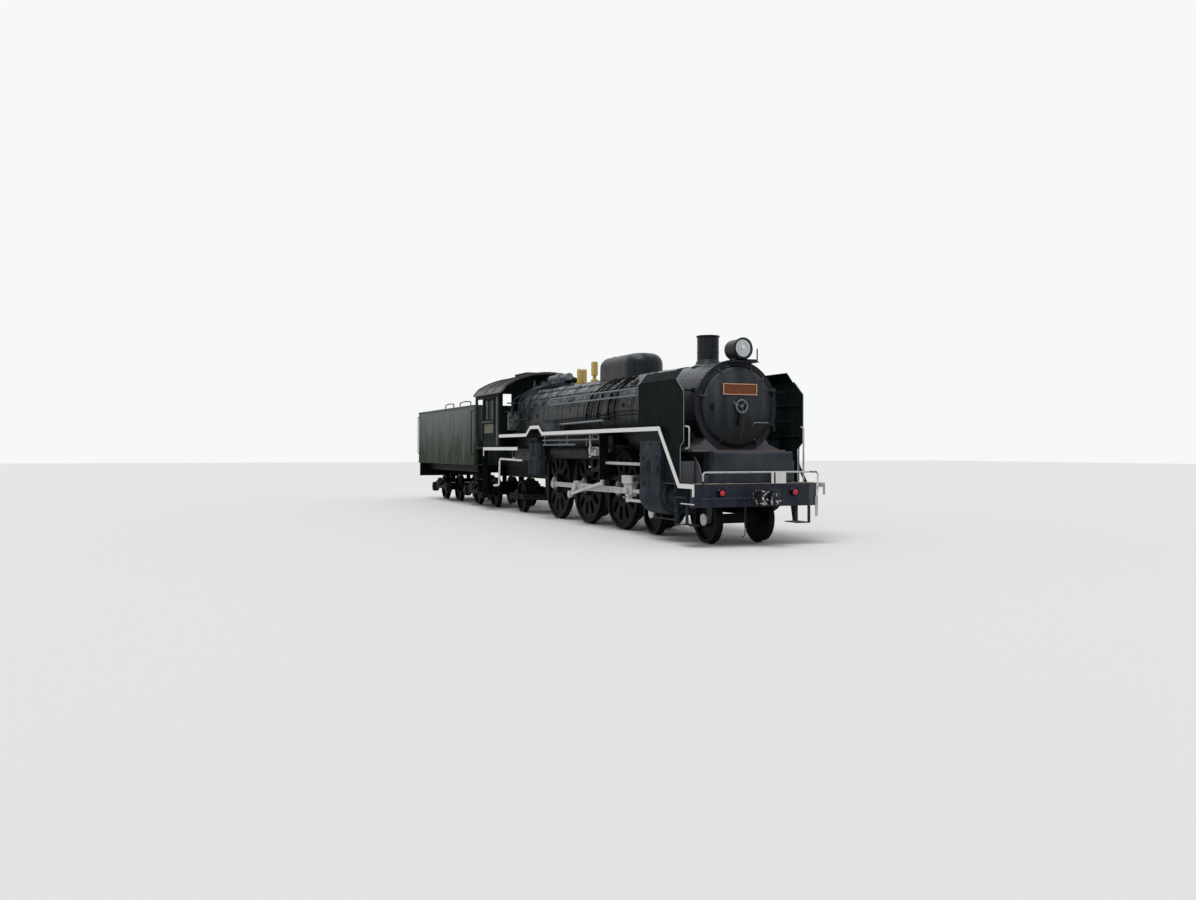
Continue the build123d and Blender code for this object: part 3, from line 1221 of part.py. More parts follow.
PIPE_Y = -1250
PIPE_R = 28
PIPE_BEND_X = FIREBOX_FRONT - 1880
with BuildPart() as cab_floor:
    block(CAB_REAR, FIREBOX_REAR, -CAB_Y, CAB_Y, CAB_FLOOR - FLOOR_T, CAB_FLOOR)
    for side in (RIGHT, LEFT):
        block(FIREBOX_REAR, FIREBOX_FRONT, BOILER_R + SEAT, CAB_Y, CAB_FLOOR - FLOOR_T, CAB_FLOOR, side)
        block(DOORWAY[1] + 50, FIREBOX_FRONT, CAB_Y - 14, CAB_Y, CAB_FLOOR - FLOOR_EDGE, CAB_FLOOR, side)
        block(
            DOORWAY[1] + 50, DOORWAY[1] + 90, CAB_Y - 14, CAB_Y, CAB_FLOOR - 250, CAB_FLOOR - FLOOR_T, side
        )
        block(FRAME_REAR, FIREBOX_REAR - 200, FRAME_Y, FRAME_OUT, FRAME_TOP, CAB_FLOOR - FLOOR_T, side)
    tube(
        [
            (FIREBOX_FRONT, PIPE_Y, CAB_FLOOR - 350),
            (PIPE_BEND_X, PIPE_Y, CAB_FLOOR - 320),
            (PIPE_BEND_X - 60, PIPE_Y, CAB_FLOOR - 1060),
            (PIPE_BEND_X - 520, PIPE_Y, CAB_FLOOR - 1080),
        ],
        radius=PIPE_R,
        bend=120,
    )
    block(
        FIREBOX_FRONT - 675, FIREBOX_FRONT - 625, PIPE_Y - 20, PIPE_Y + 20,
        CAB_FLOOR - 340, CAB_FLOOR - FLOOR_T,
    )
finish(cab_floor, "cab_floor")

STAIR_YS = (1200, 1360)
with BuildPart() as cab_steps:
    for side in (RIGHT, LEFT):
        for x in (DOORWAY[0] - 50, DOORWAY[1] - 62):
            block(x, x + STEP_BAR, *STAIR_YS, CAB_FLOOR - 1350, CAB_FLOOR - FLOOR_T, side)
        for drop in (1350, 940, 520):
            block(
                DOORWAY[0] - 50, DOORWAY[1] - 50, *STAIR_YS,
                CAB_FLOOR - drop, CAB_FLOOR - drop + TREAD_T, side,
            )
finish(cab_steps, "cab_steps")

BACK_T = 30
with BuildPart() as backhead:
    with BuildSketch(Plane.YZ.offset(FIREBOX_REAR - BACK_T)) as plate:
        with Locations((0, BOILER_Z)):
            Circle(BOILER_R - BACK_T)
        with Locations((0, (BOILER_Z + CAB_FLOOR) / 2)):
            Rectangle(2 * (BOILER_R - BACK_T), BOILER_Z - CAB_FLOOR)
    extrude(plate.sketch, amount=BACK_T)
    block(
        FIREBOX_REAR - BACK_T, FIREBOX_REAR, -BOILER_R, BOILER_R, FIREBOX_LOW, CAB_FLOOR, mode=Mode.SUBTRACT
    )
    face = FIREBOX_REAR - BACK_T
    block(face - 50, face, -260, 260, CAB_FLOOR + 120, CAB_FLOOR + 460)
    along(face - 230, face, 0, BOILER_Z + 480, 45)
    for side in (RIGHT, LEFT):
        post(face - 80, side * 330, BOILER_Z - 120, BOILER_Z + 380, 26)
        for z in (BOILER_Z - 90, BOILER_Z + 350):
            along(face - 80, face, side * 330, z, 22)
finish(backhead, "backhead")


# Auxiliaries under the running boards
COMPRESSOR_X = X0 - 1900
PUMP_Y = 1180
HANGER = (COMPRESSOR_X + 40, COMPRESSOR_X + 160)
with BuildPart() as air_compressor:
    for x in (COMPRESSOR_X - 190, COMPRESSOR_X + 190):
        post(x, -PUMP_Y, BOARD_Z - 1065, BOARD_Z - 685, 175)
        post(x, -PUMP_Y, BOARD_Z - 605, BOARD_Z - 205, 150)
    for half, z_low, z_high in ((330, -685, -605), (280, -205, -145)):
        block(
            COMPRESSOR_X - half, COMPRESSOR_X + half, PUMP_Y - 120, PUMP_Y + 120,
            BOARD_Z + z_low, BOARD_Z + z_high, RIGHT,
        )
    block(*HANGER, PUMP_Y - 20, PUMP_Y + 20, BOARD_Z - 145, RAISED_Z - BOARD_T, RIGHT)
finish(air_compressor, "air_compressor")

with BuildPart() as feed_pump:
    for z_low, z_high, radius in ((-1085, -745, 170), (-745, -665, 90), (-665, -205, 190)):
        post(COMPRESSOR_X, PUMP_Y, BOARD_Z + z_low, BOARD_Z + z_high, radius)
    block(*HANGER, PUMP_Y - 40, PUMP_Y + 20, BOARD_Z - 205, RAISED_Z - BOARD_T)
finish(feed_pump, "feed_pump")

RESERVOIR_Y = 950
RESERVOIR_R = 150
RESERVOIR_Z = BOARD_Z - 500
COOLER_Y = -1250
COOLER_R = 20
with BuildPart() as air_reservoirs:
    for side in (RIGHT, LEFT):
        along(X0 - 1250, X0 + 1150, side * RESERVOIR_Y, RESERVOIR_Z, RESERVOIR_R)
        for x in (X0 - 900, X0 + 800):
            block(
                x - 25, x + 25, RESERVOIR_Y - 30, RESERVOIR_Y + 30, RESERVOIR_Z + RESERVOIR_R - 20,
                BOARD_Z - BOARD_T, side,
            )
    tube(
        [
            (X0 - 1480, COOLER_Y, BOARD_Z - 85),
            (X0 + 2160, COOLER_Y, BOARD_Z - 85),
            (X0 + 2160, COOLER_Y, BOARD_Z - 205),
            (X0 - 1340, COOLER_Y, BOARD_Z - 205),
        ],
        radius=COOLER_R,
        bend=55,
    )
    along(X0 - 1300, X0 + 800, COOLER_Y, BOARD_Z - 315, COOLER_R)
    for x, drop in ((X0 - 1200, 325), (X0 + 300, 325), (X0 + 1800, 215)):
        block(x - 20, x + 20, COOLER_Y - 6, COOLER_Y + 6, BOARD_Z - drop, BOARD_Z - BOARD_T)
finish(air_reservoirs, "air_reservoirs")


# Brake gear: hangers and blocks behind each driving wheel
SHOE_YS = (540, 615)
SHOE_GAP = 10
SHOE_T = 52
HANGER_Z = FRAME_TOP - 60
with BuildPart() as brake_gear:
    for axle_x in DRIVER_XS:
        for side in (RIGHT, LEFT):
            middle, width = span(*SHOE_YS, side)
            with BuildSketch(Plane.XZ.offset(-middle)) as shoe:
                with Locations((axle_x, DRIVER_Z)):
                    Circle(DRIVER_R + SHOE_GAP + SHOE_T)
                    Circle(DRIVER_R + SHOE_GAP, mode=Mode.SUBTRACT)
                with Locations((axle_x - DRIVER_R, DRIVER_Z)):
                    Rectangle(240, 420, mode=Mode.INTERSECT)
            extrude(shoe.sketch, amount=width / 2, both=True)
            hanger_x = axle_x - DRIVER_R - SHOE_GAP - SHOE_T + 12
            block(hanger_x - 12, hanger_x + 12, *SHOE_YS, DRIVER_Z, HANGER_Z, side)
            lug(hanger_x, HANGER_Z, 30, FRAME_OUT, SHOE_YS[1], side)
finish(brake_gear, "brake_gear")


# Tender: frame, tank with an open bunker, bogies and fittings
BEARER_Y = 560
BEARER_R = 70
BOLSTER_LOW, BOLSTER_HIGH = CARRIER_Z + 162, CARRIER_Z + 302
BOLSTER_HALF = 180
PIVOT_R = 70
with BuildPart() as tender_frame:
    for side in (RIGHT, LEFT):
        block(TENDER_REAR + BEAM_T, TENDER_FRONT, SILL_Y - 90, SILL_Y, SILL_LOW, TANK_LOW, side)
        for x in TENDER_BOGIES:
            post(x, side * BEARER_Y, SILL_LOW - 20 + SEAT, SILL_LOW, BEARER_R)
    block(TENDER_REAR, TENDER_REAR + BEAM_T, -DECK_Y, DECK_Y, COUPLER_Z - 80, TANK_LOW)
    for x in TENDER_BOGIES:
        block(x - 200, x + 200, -SILL_Y + 90, SILL_Y - 90, SILL_LOW, TANK_LOW)
        post(x, 0, BOLSTER_LOW + 20, SILL_LOW, PIVOT_R)
    block(TENDER_FRONT - 300, TENDER_FRONT, -SILL_Y + 90, SILL_Y - 90, SILL_LOW, TANK_LOW)
    block(TENDER_FRONT - 120, DRAW_PIN + 80, -60, 60, DRAW_Z - DRAWBAR_HALF, DRAW_Z + DRAWBAR_HALF)
    post(DRAW_PIN, 0, DRAW_Z - DRAWBAR_HALF, DRAW_Z + DRAWBAR_HALF, DRAW_PIN_R + SEAT, mode=Mode.SUBTRACT)
finish(tender_frame, "tender_frame")

BUNKER_REAR = TENDER_FRONT - 3350
BUNKER_Y = 1100
RECESS = 160  # depth of the tank's top behind the bunker
HATCH_X = TENDER_REAR + 1150
HATCH_HALF = 260
HATCH_Y = 350
HATCH_T = 30
HATCH_PIN_X = HATCH_X - HATCH_HALF - 30
HATCH_PIN_Z = TANK_TOP - RECESS + 40
HATCH_PIN_R = 22
HATCH_BARRELS = [(-250, -150), (150, 250)]
KNUCKLE_Y = HATCH_BARRELS[1][0] - PIN_GAP
with BuildPart() as tender_tank:
    block(TENDER_REAR, TENDER_FRONT, -TANK_Y, TANK_Y, TANK_LOW, TANK_TOP)
    slab(
        [
            (TENDER_FRONT, TANK_LOW + 480),
            (TENDER_FRONT - 1200, TANK_LOW + 480),
            (BUNKER_REAR, TANK_TOP - 300),
            (BUNKER_REAR, TANK_TOP),
            (TENDER_FRONT, TANK_TOP),
        ],
        -BUNKER_Y,
        BUNKER_Y,
        mode=Mode.SUBTRACT,
    )
    block(
        TENDER_REAR + TANK_WALL, BUNKER_REAR - TANK_WALL, -TANK_Y + TANK_WALL, TANK_Y - TANK_WALL,
        TANK_TOP - RECESS, TANK_TOP,
        mode=Mode.SUBTRACT,
    )
    block(
        HATCH_PIN_X - HATCH_PIN_R, HATCH_PIN_X + HATCH_PIN_R, -KNUCKLE_Y, KNUCKLE_Y, TANK_TOP - RECESS,
        HATCH_PIN_Z,
    )
    lug(HATCH_PIN_X, HATCH_PIN_Z, HATCH_PIN_R, -KNUCKLE_Y, KNUCKLE_Y)
finish(tender_tank, "tender_tank")

with BuildPart() as water_hatch:
    lid_low = TANK_TOP - RECESS + SEAT
    block(HATCH_X - HATCH_HALF, HATCH_X + HATCH_HALF, -HATCH_Y, HATCH_Y, lid_low, lid_low + HATCH_T)
    for y_low, y_high in HATCH_BARRELS:
        lug(HATCH_PIN_X, HATCH_PIN_Z, HATCH_PIN_R, y_low, y_high)
        block(HATCH_PIN_X, HATCH_X - 160, y_low + 20, y_high - 20, lid_low + HATCH_T - 5, HATCH_PIN_Z + 10)
finish(water_hatch, "water_hatch")


def tender_bogie(number, middle):
    """Outside-frame bogie: plate sides with axle boxes, bolster and end bars."""
    half = TENDER_BASE / 2
    with BuildPart() as piece:
        for side in (RIGHT, LEFT):
            slab(
                [
                    (middle - half - 280, CARRIER_Z - 38),
                    (middle - half - 150, CARRIER_Z - 158),
                    (middle - half + 150, CARRIER_Z - 158),
                    (middle - half + 420, CARRIER_Z - 38),
                    (middle + half - 420, CARRIER_Z - 38),
                    (middle + half - 150, CARRIER_Z - 158),
                    (middle + half + 150, CARRIER_Z - 158),
                    (middle + half + 280, CARRIER_Z - 38),
                    (middle + half + 280, BOLSTER_LOW - 20),
                    (middle + half - 340, BOLSTER_LOW + 20),
                    (middle + half - 540, BOLSTER_HIGH + 20),
                    (middle - half + 540, BOLSTER_HIGH + 20),
                    (middle - half + 340, BOLSTER_LOW + 20),
                    (middle - half - 280, BOLSTER_LOW - 20),
                ],
                JOURNAL_Y,
                JOURNAL_Y + JOURNAL_T,
                side,
            )
        block(middle - BOLSTER_HALF, middle + BOLSTER_HALF, -JOURNAL_Y, JOURNAL_Y, BOLSTER_LOW, BOLSTER_HIGH)
        for x in (middle - 300, middle + 300):
            block(x - 40, x + 40, -JOURNAL_Y, JOURNAL_Y, BOLSTER_LOW - 120, BOLSTER_LOW - 20)
        post(middle, 0, BOLSTER_LOW, BOLSTER_HIGH, PIVOT_R + SEAT, mode=Mode.SUBTRACT)
        for side in (RIGHT, LEFT):
            post(middle, side * BEARER_Y, BOLSTER_HIGH, SILL_LOW - 20, BEARER_R + 20)
            for axle_x in (middle - half, middle + half):
                lug(
                    axle_x, CARRIER_Z, JOURNAL_R + SEAT, JOURNAL_Y, JOURNAL_Y + JOURNAL_T, side,
                    mode=Mode.SUBTRACT,
                )
    finish(piece, f"tender_bogie_{number}")
    for index, axle_x in enumerate((middle + half, middle - half), start=2 * number - 1):
        carrying_wheelset(f"tender_wheelset_{index}", axle_x, JOURNAL_Y + JOURNAL_T - SEAT, JOURNAL_R)


for number, middle in enumerate(TENDER_BOGIES, start=1):
    tender_bogie(number, middle)
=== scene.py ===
"""Paint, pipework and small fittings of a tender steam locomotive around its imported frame, in metres.

Places are given from the rail head under the main axle: x ahead, y to the driver's left, z up.
"""

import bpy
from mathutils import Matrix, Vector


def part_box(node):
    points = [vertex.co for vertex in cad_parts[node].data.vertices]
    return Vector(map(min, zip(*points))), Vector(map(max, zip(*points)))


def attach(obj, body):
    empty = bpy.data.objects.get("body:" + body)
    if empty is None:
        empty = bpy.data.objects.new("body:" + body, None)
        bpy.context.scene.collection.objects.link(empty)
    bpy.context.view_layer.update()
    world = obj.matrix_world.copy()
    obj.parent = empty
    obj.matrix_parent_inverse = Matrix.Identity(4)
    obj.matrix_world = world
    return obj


bl_info = {
    "name": "Steam Locomotive Dressing",
    "version": (1, 0, 0),
    "blender": (4, 5, 0),
    "location": "View3D > Sidebar > Locomotive",
    "description": "Dresses a tender steam locomotive with paint, pipework, bolts and fittings",
    "category": "Object",
}

from math import pi, radians

import bmesh
import bpy
import numpy as np
from bpy.props import FloatProperty, FloatVectorProperty, PointerProperty
from bpy.types import Operator, Panel, PropertyGroup
from mathutils import Matrix

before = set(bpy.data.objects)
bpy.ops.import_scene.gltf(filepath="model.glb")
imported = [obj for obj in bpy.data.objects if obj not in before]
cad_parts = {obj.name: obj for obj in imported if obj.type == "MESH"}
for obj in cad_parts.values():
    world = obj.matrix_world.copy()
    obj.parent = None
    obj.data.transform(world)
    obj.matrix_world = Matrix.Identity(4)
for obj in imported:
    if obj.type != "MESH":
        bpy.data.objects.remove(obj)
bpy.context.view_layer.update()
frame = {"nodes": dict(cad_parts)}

# Measures taken from the frame
RAIL = 0.028  # flange depth under the rail head
HOME = np.array([sum(corner[0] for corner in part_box("driving_wheelset_2")) / 2, 0.0, RAIL])


def corners(node):
    """Lowest and highest corner of a frame node, from the rail head under the main axle."""
    return np.array([list(corner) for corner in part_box(node)]) - HOME


BAND = 0.006  # thickness of the lagging bands
BOILER_R = corners("boiler")[1][1] - BAND
BOILER_Z = corners("boiler")[1][2] - BOILER_R - BAND
SMOKE_R = 0.86
SMOKE_REAR, SMOKE_FRONT = corners("smokebox")[0][0], corners("smokebox")[1][0] - 0.06
FLANGE_R = 0.903
DRIVER_XS = [corners(f"driving_wheelset_{number}")[0][0] + FLANGE_R for number in (1, 2, 3)]
DRIVER_Z = 0.875
BEAM_X = corners("heater_casing")[1][0] + 0.09
BEAM_LOW = corners("front_platform")[0][2] + 0.35
DECK_Z = corners("heater_casing")[0][2]
TANK_LOW, TANK_HIGH = corners("tender_tank")
CAB_HIGH = corners("cab_body")[1]
ROOF_LOW, ROOF_HIGH = corners("cab_roof")
CYL_LOW, CYL_HIGH = corners("cylinder_right")
AHEAD, OUTWARD, UP = (1, 0, 0), (0, 1, 0), (0, 0, 1)


def linear(code):
    """sRGB hex to linear RGB: c/12.92 below 0.04045, else ((c + 0.055)/1.055)^2.4."""
    value = np.array([int(code[i : i + 2], 16) for i in (0, 2, 4)]) / 255
    return tuple(np.where(value <= 0.04045, value / 12.92, ((value + 0.055) / 1.055) ** 2.4))


def colour(name, description, code):
    return FloatVectorProperty(
        name=name, description=description, subtype="COLOR", size=3, min=0, max=1, default=linear(code)
    )


def length(name, description, default):
    return FloatProperty(name=name, description=description, default=default, min=0, unit="LENGTH")


class LocoColours(PropertyGroup):
    """Paints and metals of the locomotive, and the colour of a painted sheen."""

    smokebox: colour("Smokebox", "Blue-black of smokebox, dome, chimney and lamp", "12161c")
    boiler: colour("Boiler", "Satin grey-black of the boiler lagging", "14181b")
    # Sheen: a painted highlight, pale colour laid on upward faces that stands in for the sky's reflection
    sheen: colour("Sheen", "Pale chalking on surfaces that face the sky", "a4a8ac")
    dust: colour("Dust", "Grey film on upright paint", "5c6266")
    # Near black: black paint, darkened further as painted shade standing in for the shadow under the running
    # boards
    frame: colour("Frame", "Grimy black below the running boards", "07080a")
    wheel: colour("Wheels", "Black of the wheels", "0b0c0d")
    grime: colour("Grime", "Brown dirt thrown up by the wheels", "292521")
    casing: colour("Cylinder casing", "Blue-grey of the cylinder casing", "131d25")
    deflector: colour("Deflector", "Dark green of the smoke deflectors", "111a19")
    cab: colour("Cab", "Dark grey-green of the cab sides", "101615")
    roof: colour("Roof", "Grey-brown of the cab roof", "434443")
    tender: colour("Tender", "Grey of the tender tank's upper half", "606766")
    tender_low: colour("Tender foot", "Green left low on the tank", "1c2c1a")
    rod: colour("Rods", "Aluminium paint on rods and valve gear", "b4b6b4")
    pipe: colour("Pale pipes", "Grey paint of pipes beside the boards", "70757a")
    white: colour("White line", "White paint of edges and hub caps", "d6d6d3")
    ochre: colour("Fittings", "Ochre of the safety valves and whistle", "bea35c")
    khaki: colour("Khaki", "Khaki panel below the cab window", "5d5b4a")
    primer: colour("Primer", "Grey-green boxes at the cab front", "6a736f")
    rust: colour("Rust", "Rust along worn plate edges", "7a4a2b")
    copper: colour("Copper", "Copper brown field of the front plate", "6f3f26")
    lamp: colour("Tail lamp", "Red of the two lamps", "c02b3c")


class LocoSizes(PropertyGroup):
    """Sizes of repeated fittings."""

    rivet: length("Rivet radius", "Radius of a plate rivet", 0.009)
    sand_pipe: length("Sand pipe radius", "Radius of the sand pipes on the boiler", 0.021)
    small_pipe: length("Small pipe radius", "Radius of the oil pipes on the boiler", 0.013)
    handrail: length("Handrail radius", "Radius of grab rails", 0.014)


class LocoStage(PropertyGroup):
    """Floor and light."""

    floor: colour("Floor", "Pale floor", "dcdcd8")
    sky: FloatProperty(name="Sky", description="Strength of the even light", default=0.55, min=0)
    sun: FloatProperty(name="Sun", description="Strength of the wide soft lamp", default=1.9, min=0)


# Shapes: each returns (points, faces)
def grid(points, wrap_u=False, wrap_v=True, caps=True):
    """Joins a rows by columns array of points into quads, with flat ends."""
    rows, columns = points.shape[:2]
    index = np.arange(rows * columns).reshape(rows, columns)
    index = np.vstack([index, index[:1]]) if wrap_u else index
    index = np.hstack([index, index[:, :1]]) if wrap_v else index
    quads = np.stack([index[:-1, :-1], index[1:, :-1], index[1:, 1:], index[:-1, 1:]], -1)
    faces = quads.reshape(-1, 4).tolist()
    if caps and not wrap_u:
        faces += [list(range(columns))[::-1], list(range((rows - 1) * columns, rows * columns))]
    return points.reshape(-1, 3), faces


def unit(vectors):
    """Each vector over its length."""
    return vectors / np.linalg.norm(vectors, axis=-1, keepdims=True)


def carried(profile, path, closed=False, up=None):
    """Profile (a, b) carried along a path p: p + a S + b U, where S = T x up and U = S x T."""
    path, profile = np.asarray(path, float), np.asarray(profile, float)
    ahead = unit(np.roll(path, -1, 0) - path)
    behind = unit(path - np.roll(path, 1, 0))
    if not closed:
        ahead[-1], behind[0] = behind[-1], ahead[0]
    tangent = unit(ahead + behind)
    if up is None:
        up = np.eye(3)[np.abs(tangent).max(0).argmin()]
    across = unit(np.cross(tangent, up))
    over = np.cross(across, tangent)
    points = path[:, None] + profile[None, :, :1] * across[:, None] + profile[None, :, 1:] * over[:, None]
    return grid(points, wrap_u=closed)


def circle(radius, sides=12):
    """Profile r (cos a, sin a)."""
    turn = 2 * pi * np.arange(sides) / sides
    return radius * np.stack([np.cos(turn), np.sin(turn)], -1)


def rounded(corner_points, radius, steps=5):
    """Path with each corner P between A = P + r to the last and B = P + r to the next
    replaced by (1-t)^2 A + 2t(1-t) P + t^2 B."""
    points = np.asarray(corner_points, float)
    middle = points[1:-1]
    start = middle + radius * unit(points[:-2] - middle)
    end = middle + radius * unit(points[2:] - middle)
    t = np.linspace(0, 1, steps)[None, :, None]
    bends = (1 - t) ** 2 * start[:, None] + 2 * t * (1 - t) * middle[:, None] + t**2 * end[:, None]
    return np.vstack([points[:1], bends.reshape(-1, 3), points[-1:]])


def pipe(corner_points, radius, bend=0.06, sides=10):
    """A round bar along a path with rounded corners."""
    path = rounded(corner_points, bend) if len(corner_points) > 2 else corner_points
    return carried(circle(radius, sides), path)


def turned_about(axis, sides):
    """Unit ring cos a U + sin a V about an axis, and the axis."""
    axis = unit(np.asarray(axis, float))
    first = unit(np.cross(axis, np.eye(3)[np.abs(axis).argmin()]))
    turn = 2 * pi * np.arange(sides) / sides
    return np.cos(turn)[:, None] * first + np.sin(turn)[:, None] * np.cross(axis, first), axis


def lathed(profile, origin, axis, sides=24):
    """Profile (r, h) turned about an axis: origin + r (cos a U + sin a V) + h axis."""
    ring, axis = turned_about(axis, sides)
    profile = np.asarray(profile, float)
    return grid(np.asarray(origin) + profile[:, None, :1] * ring[None] + profile[:, None, 1:] * axis)


def hoop(centre, radius, thickness, axis=AHEAD, sides=48, section=8):
    """A torus: c + R (cos a U + sin a V), with a round section of its own."""
    ring, axis = turned_about(axis, sides)
    return carried(circle(thickness, section), np.asarray(centre) + radius * ring, closed=True, up=axis)


def bar(low, high):
    """A rectangle in (y, z) carried from one x to another."""
    low, high = np.minimum(low, high), np.maximum(low, high)
    middle, half = (low + high) / 2, (high - low) / 2
    profile = np.array([(-1, -1), (1, -1), (1, 1), (-1, 1)]) * half[1:]
    return carried(profile, [(low[0], *middle[1:]), (high[0], *middle[1:])], up=UP)


def sheet_metal(outline, axis, low, high):
    """An outline of points in the other two axes carried along one axis."""
    return grid(np.stack([np.insert(np.asarray(outline, float), axis, at, axis=1) for at in (low, high)]))


def studs(places, normals, radius, height=None, sides=6):
    """Bolt heads: c + r (cos a U + sin a V) + h N for (r, h) on three rings, at every place."""
    places, normals = np.broadcast_arrays(np.atleast_2d(places), np.atleast_2d(normals))
    normals = unit(normals.astype(float))
    height = radius * 0.8 if height is None else height
    up = np.where(np.abs(normals[:, 2:]) < 0.9, [[0.0, 0.0, 1.0]], [[1.0, 0.0, 0.0]])
    first = unit(np.cross(normals, up))
    second = np.cross(normals, first)
    turn = 2 * pi * np.arange(sides) / sides
    rim = np.cos(turn)[None, :, None] * first[:, None] + np.sin(turn)[None, :, None] * second[:, None]
    rings = np.array([(1, -0.4), (1, 0.6), (0.62, 1)]) * (radius, height)
    points = (
        places[:, None, None]
        + rings[None, :, :1, None] * rim[:, None]
        + rings[None, :, 1:, None] * normals[:, None, None]
    )
    _, one = grid(points[0])
    shift = 3 * sides * np.arange(len(places))[:, None]
    return points.reshape(-1, 3), [face for corner in one for face in (np.array(corner) + shift).tolist()]


def around(count, radius, centre, start=0.0, sweep=2 * pi):
    """Places and outward directions in the y-z plane: c + r (sin a, cos a), a from straight up."""
    turn = start + sweep * np.arange(count) / (count if sweep >= 2 * pi else count - 1)
    out = np.stack([np.zeros(count), np.sin(turn), np.cos(turn)], -1)
    return np.asarray(centre) + radius * out, out


def oval(centre, wide, high, count):
    """Places in the x-z plane: c + (w cos a, h sin a)."""
    turn = 2 * pi * np.arange(count) / count
    return np.asarray(centre) + np.stack([wide * np.cos(turn), 0 * turn, high * np.sin(turn)], -1)


def row(start, end, count):
    """Evenly spaced places: start + (end - start) i / (count - 1)."""
    return np.linspace(start, end, count)


def on_barrel(x, turn, radius=BOILER_R):
    """Point on the boiler: (x, r sin a, Zb + r cos a), a from straight up towards the left."""
    x, turn = np.broadcast_arrays(np.asarray(x, float), np.asarray(turn, float))
    return np.stack([x, radius * np.sin(turn), BOILER_Z + radius * np.cos(turn)], -1)


def moulding(first, second, axis, at, half_width, half_height):
    """A square bar along a rectangle between two corners in the other two axes, at a place on one."""
    (a, b), (c, d) = first, second
    outline = np.insert(np.array([(a, b), (c, b), (c, d), (a, d)], float), axis, at, axis=1)
    profile = np.array([(-1, -1), (1, -1), (1, 1), (-1, 1)]) * (half_width, half_height)
    return carried(profile, outline, True, np.eye(3)[axis])


def both_sides(shapes):
    """The left side's shapes and their mirror images, y to -y."""
    return shapes + [(points * (1, -1, 1), faces) for points, faces in shapes]


def bars(*ends):
    """A bar between each pair of lowest and highest corners."""
    return [bar(low, high) for low, high in ends]


def piece(name, shapes, finish, body="engine", bevel=0.0):
    """Joins shapes into one object that rides on a body, with its faces turned outwards."""
    points, faces, shift = [], [], 0
    for shape_points, shape_faces in shapes:
        points.append(shape_points)
        faces += [[i + shift for i in face] for face in shape_faces]
        shift += len(shape_points)
    mesh = bpy.data.meshes.new(name)
    mesh.from_pydata((np.vstack(points) + HOME).tolist(), [], faces)
    work = bmesh.new()
    work.from_mesh(mesh)
    bmesh.ops.remove_doubles(work, verts=work.verts, dist=1e-6)
    bmesh.ops.recalc_face_normals(work, faces=work.faces)
    work.to_mesh(mesh)
    work.free()
    mesh.shade_smooth()
    mesh.set_sharp_from_angle(angle=radians(38))
    mesh.materials.append(finishes[finish])
    made = bpy.data.objects.new(name, mesh)
    bpy.context.scene.collection.objects.link(made)
    if bevel:
        edge = made.modifiers.new("Soft edges", "BEVEL")
        edge.width, edge.segments, edge.limit_method = bevel, 2, "ANGLE"
    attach(made, body)


# Materials
CLOUD, PATCH, SPECK = 1.4, 6.0, 24.0  # noise per metre: clouds 700 mm, patches 170 mm, specks 40 mm wide
WAVE, WEAR = 2.2, 18.0  # the waves of hand-beaten sheet 450 mm, and worn spots in a line 55 mm wide


def add(tree, kind, inputs=(), output=0, **settings):
    """Adds one node with its settings; an input is a value or another node's output."""
    made = tree.nodes.new(kind)
    for name, value in settings.items():
        setattr(made, name, value)
    for key, value in dict(inputs).items():
        if isinstance(value, bpy.types.NodeSocket):
            tree.links.new(value, made.inputs[key])
        else:
            made.inputs[key].default_value = value
    return made.outputs[output]


def inside(tree, where, tests):
    """1 where a test (axis, sign, limit) holds, for each test; X counts from the main axle, Z from the
    flanges' foot and OUT is y from the middle to either side."""
    masks = []
    for axis, sign, limit in tests:
        place = add(tree, "ShaderNodeSeparateXYZ", {0: where}, "Y" if axis == "OUT" else axis)
        if axis == "OUT":
            place = add(tree, "ShaderNodeMath", {0: place}, operation="ABSOLUTE")
        limit += HOME[0] if axis == "X" else 0
        operation = "GREATER_THAN" if sign == ">" else "LESS_THAN"
        masks.append(add(tree, "ShaderNodeMath", {0: place, 1: limit}, operation=operation))
    return masks


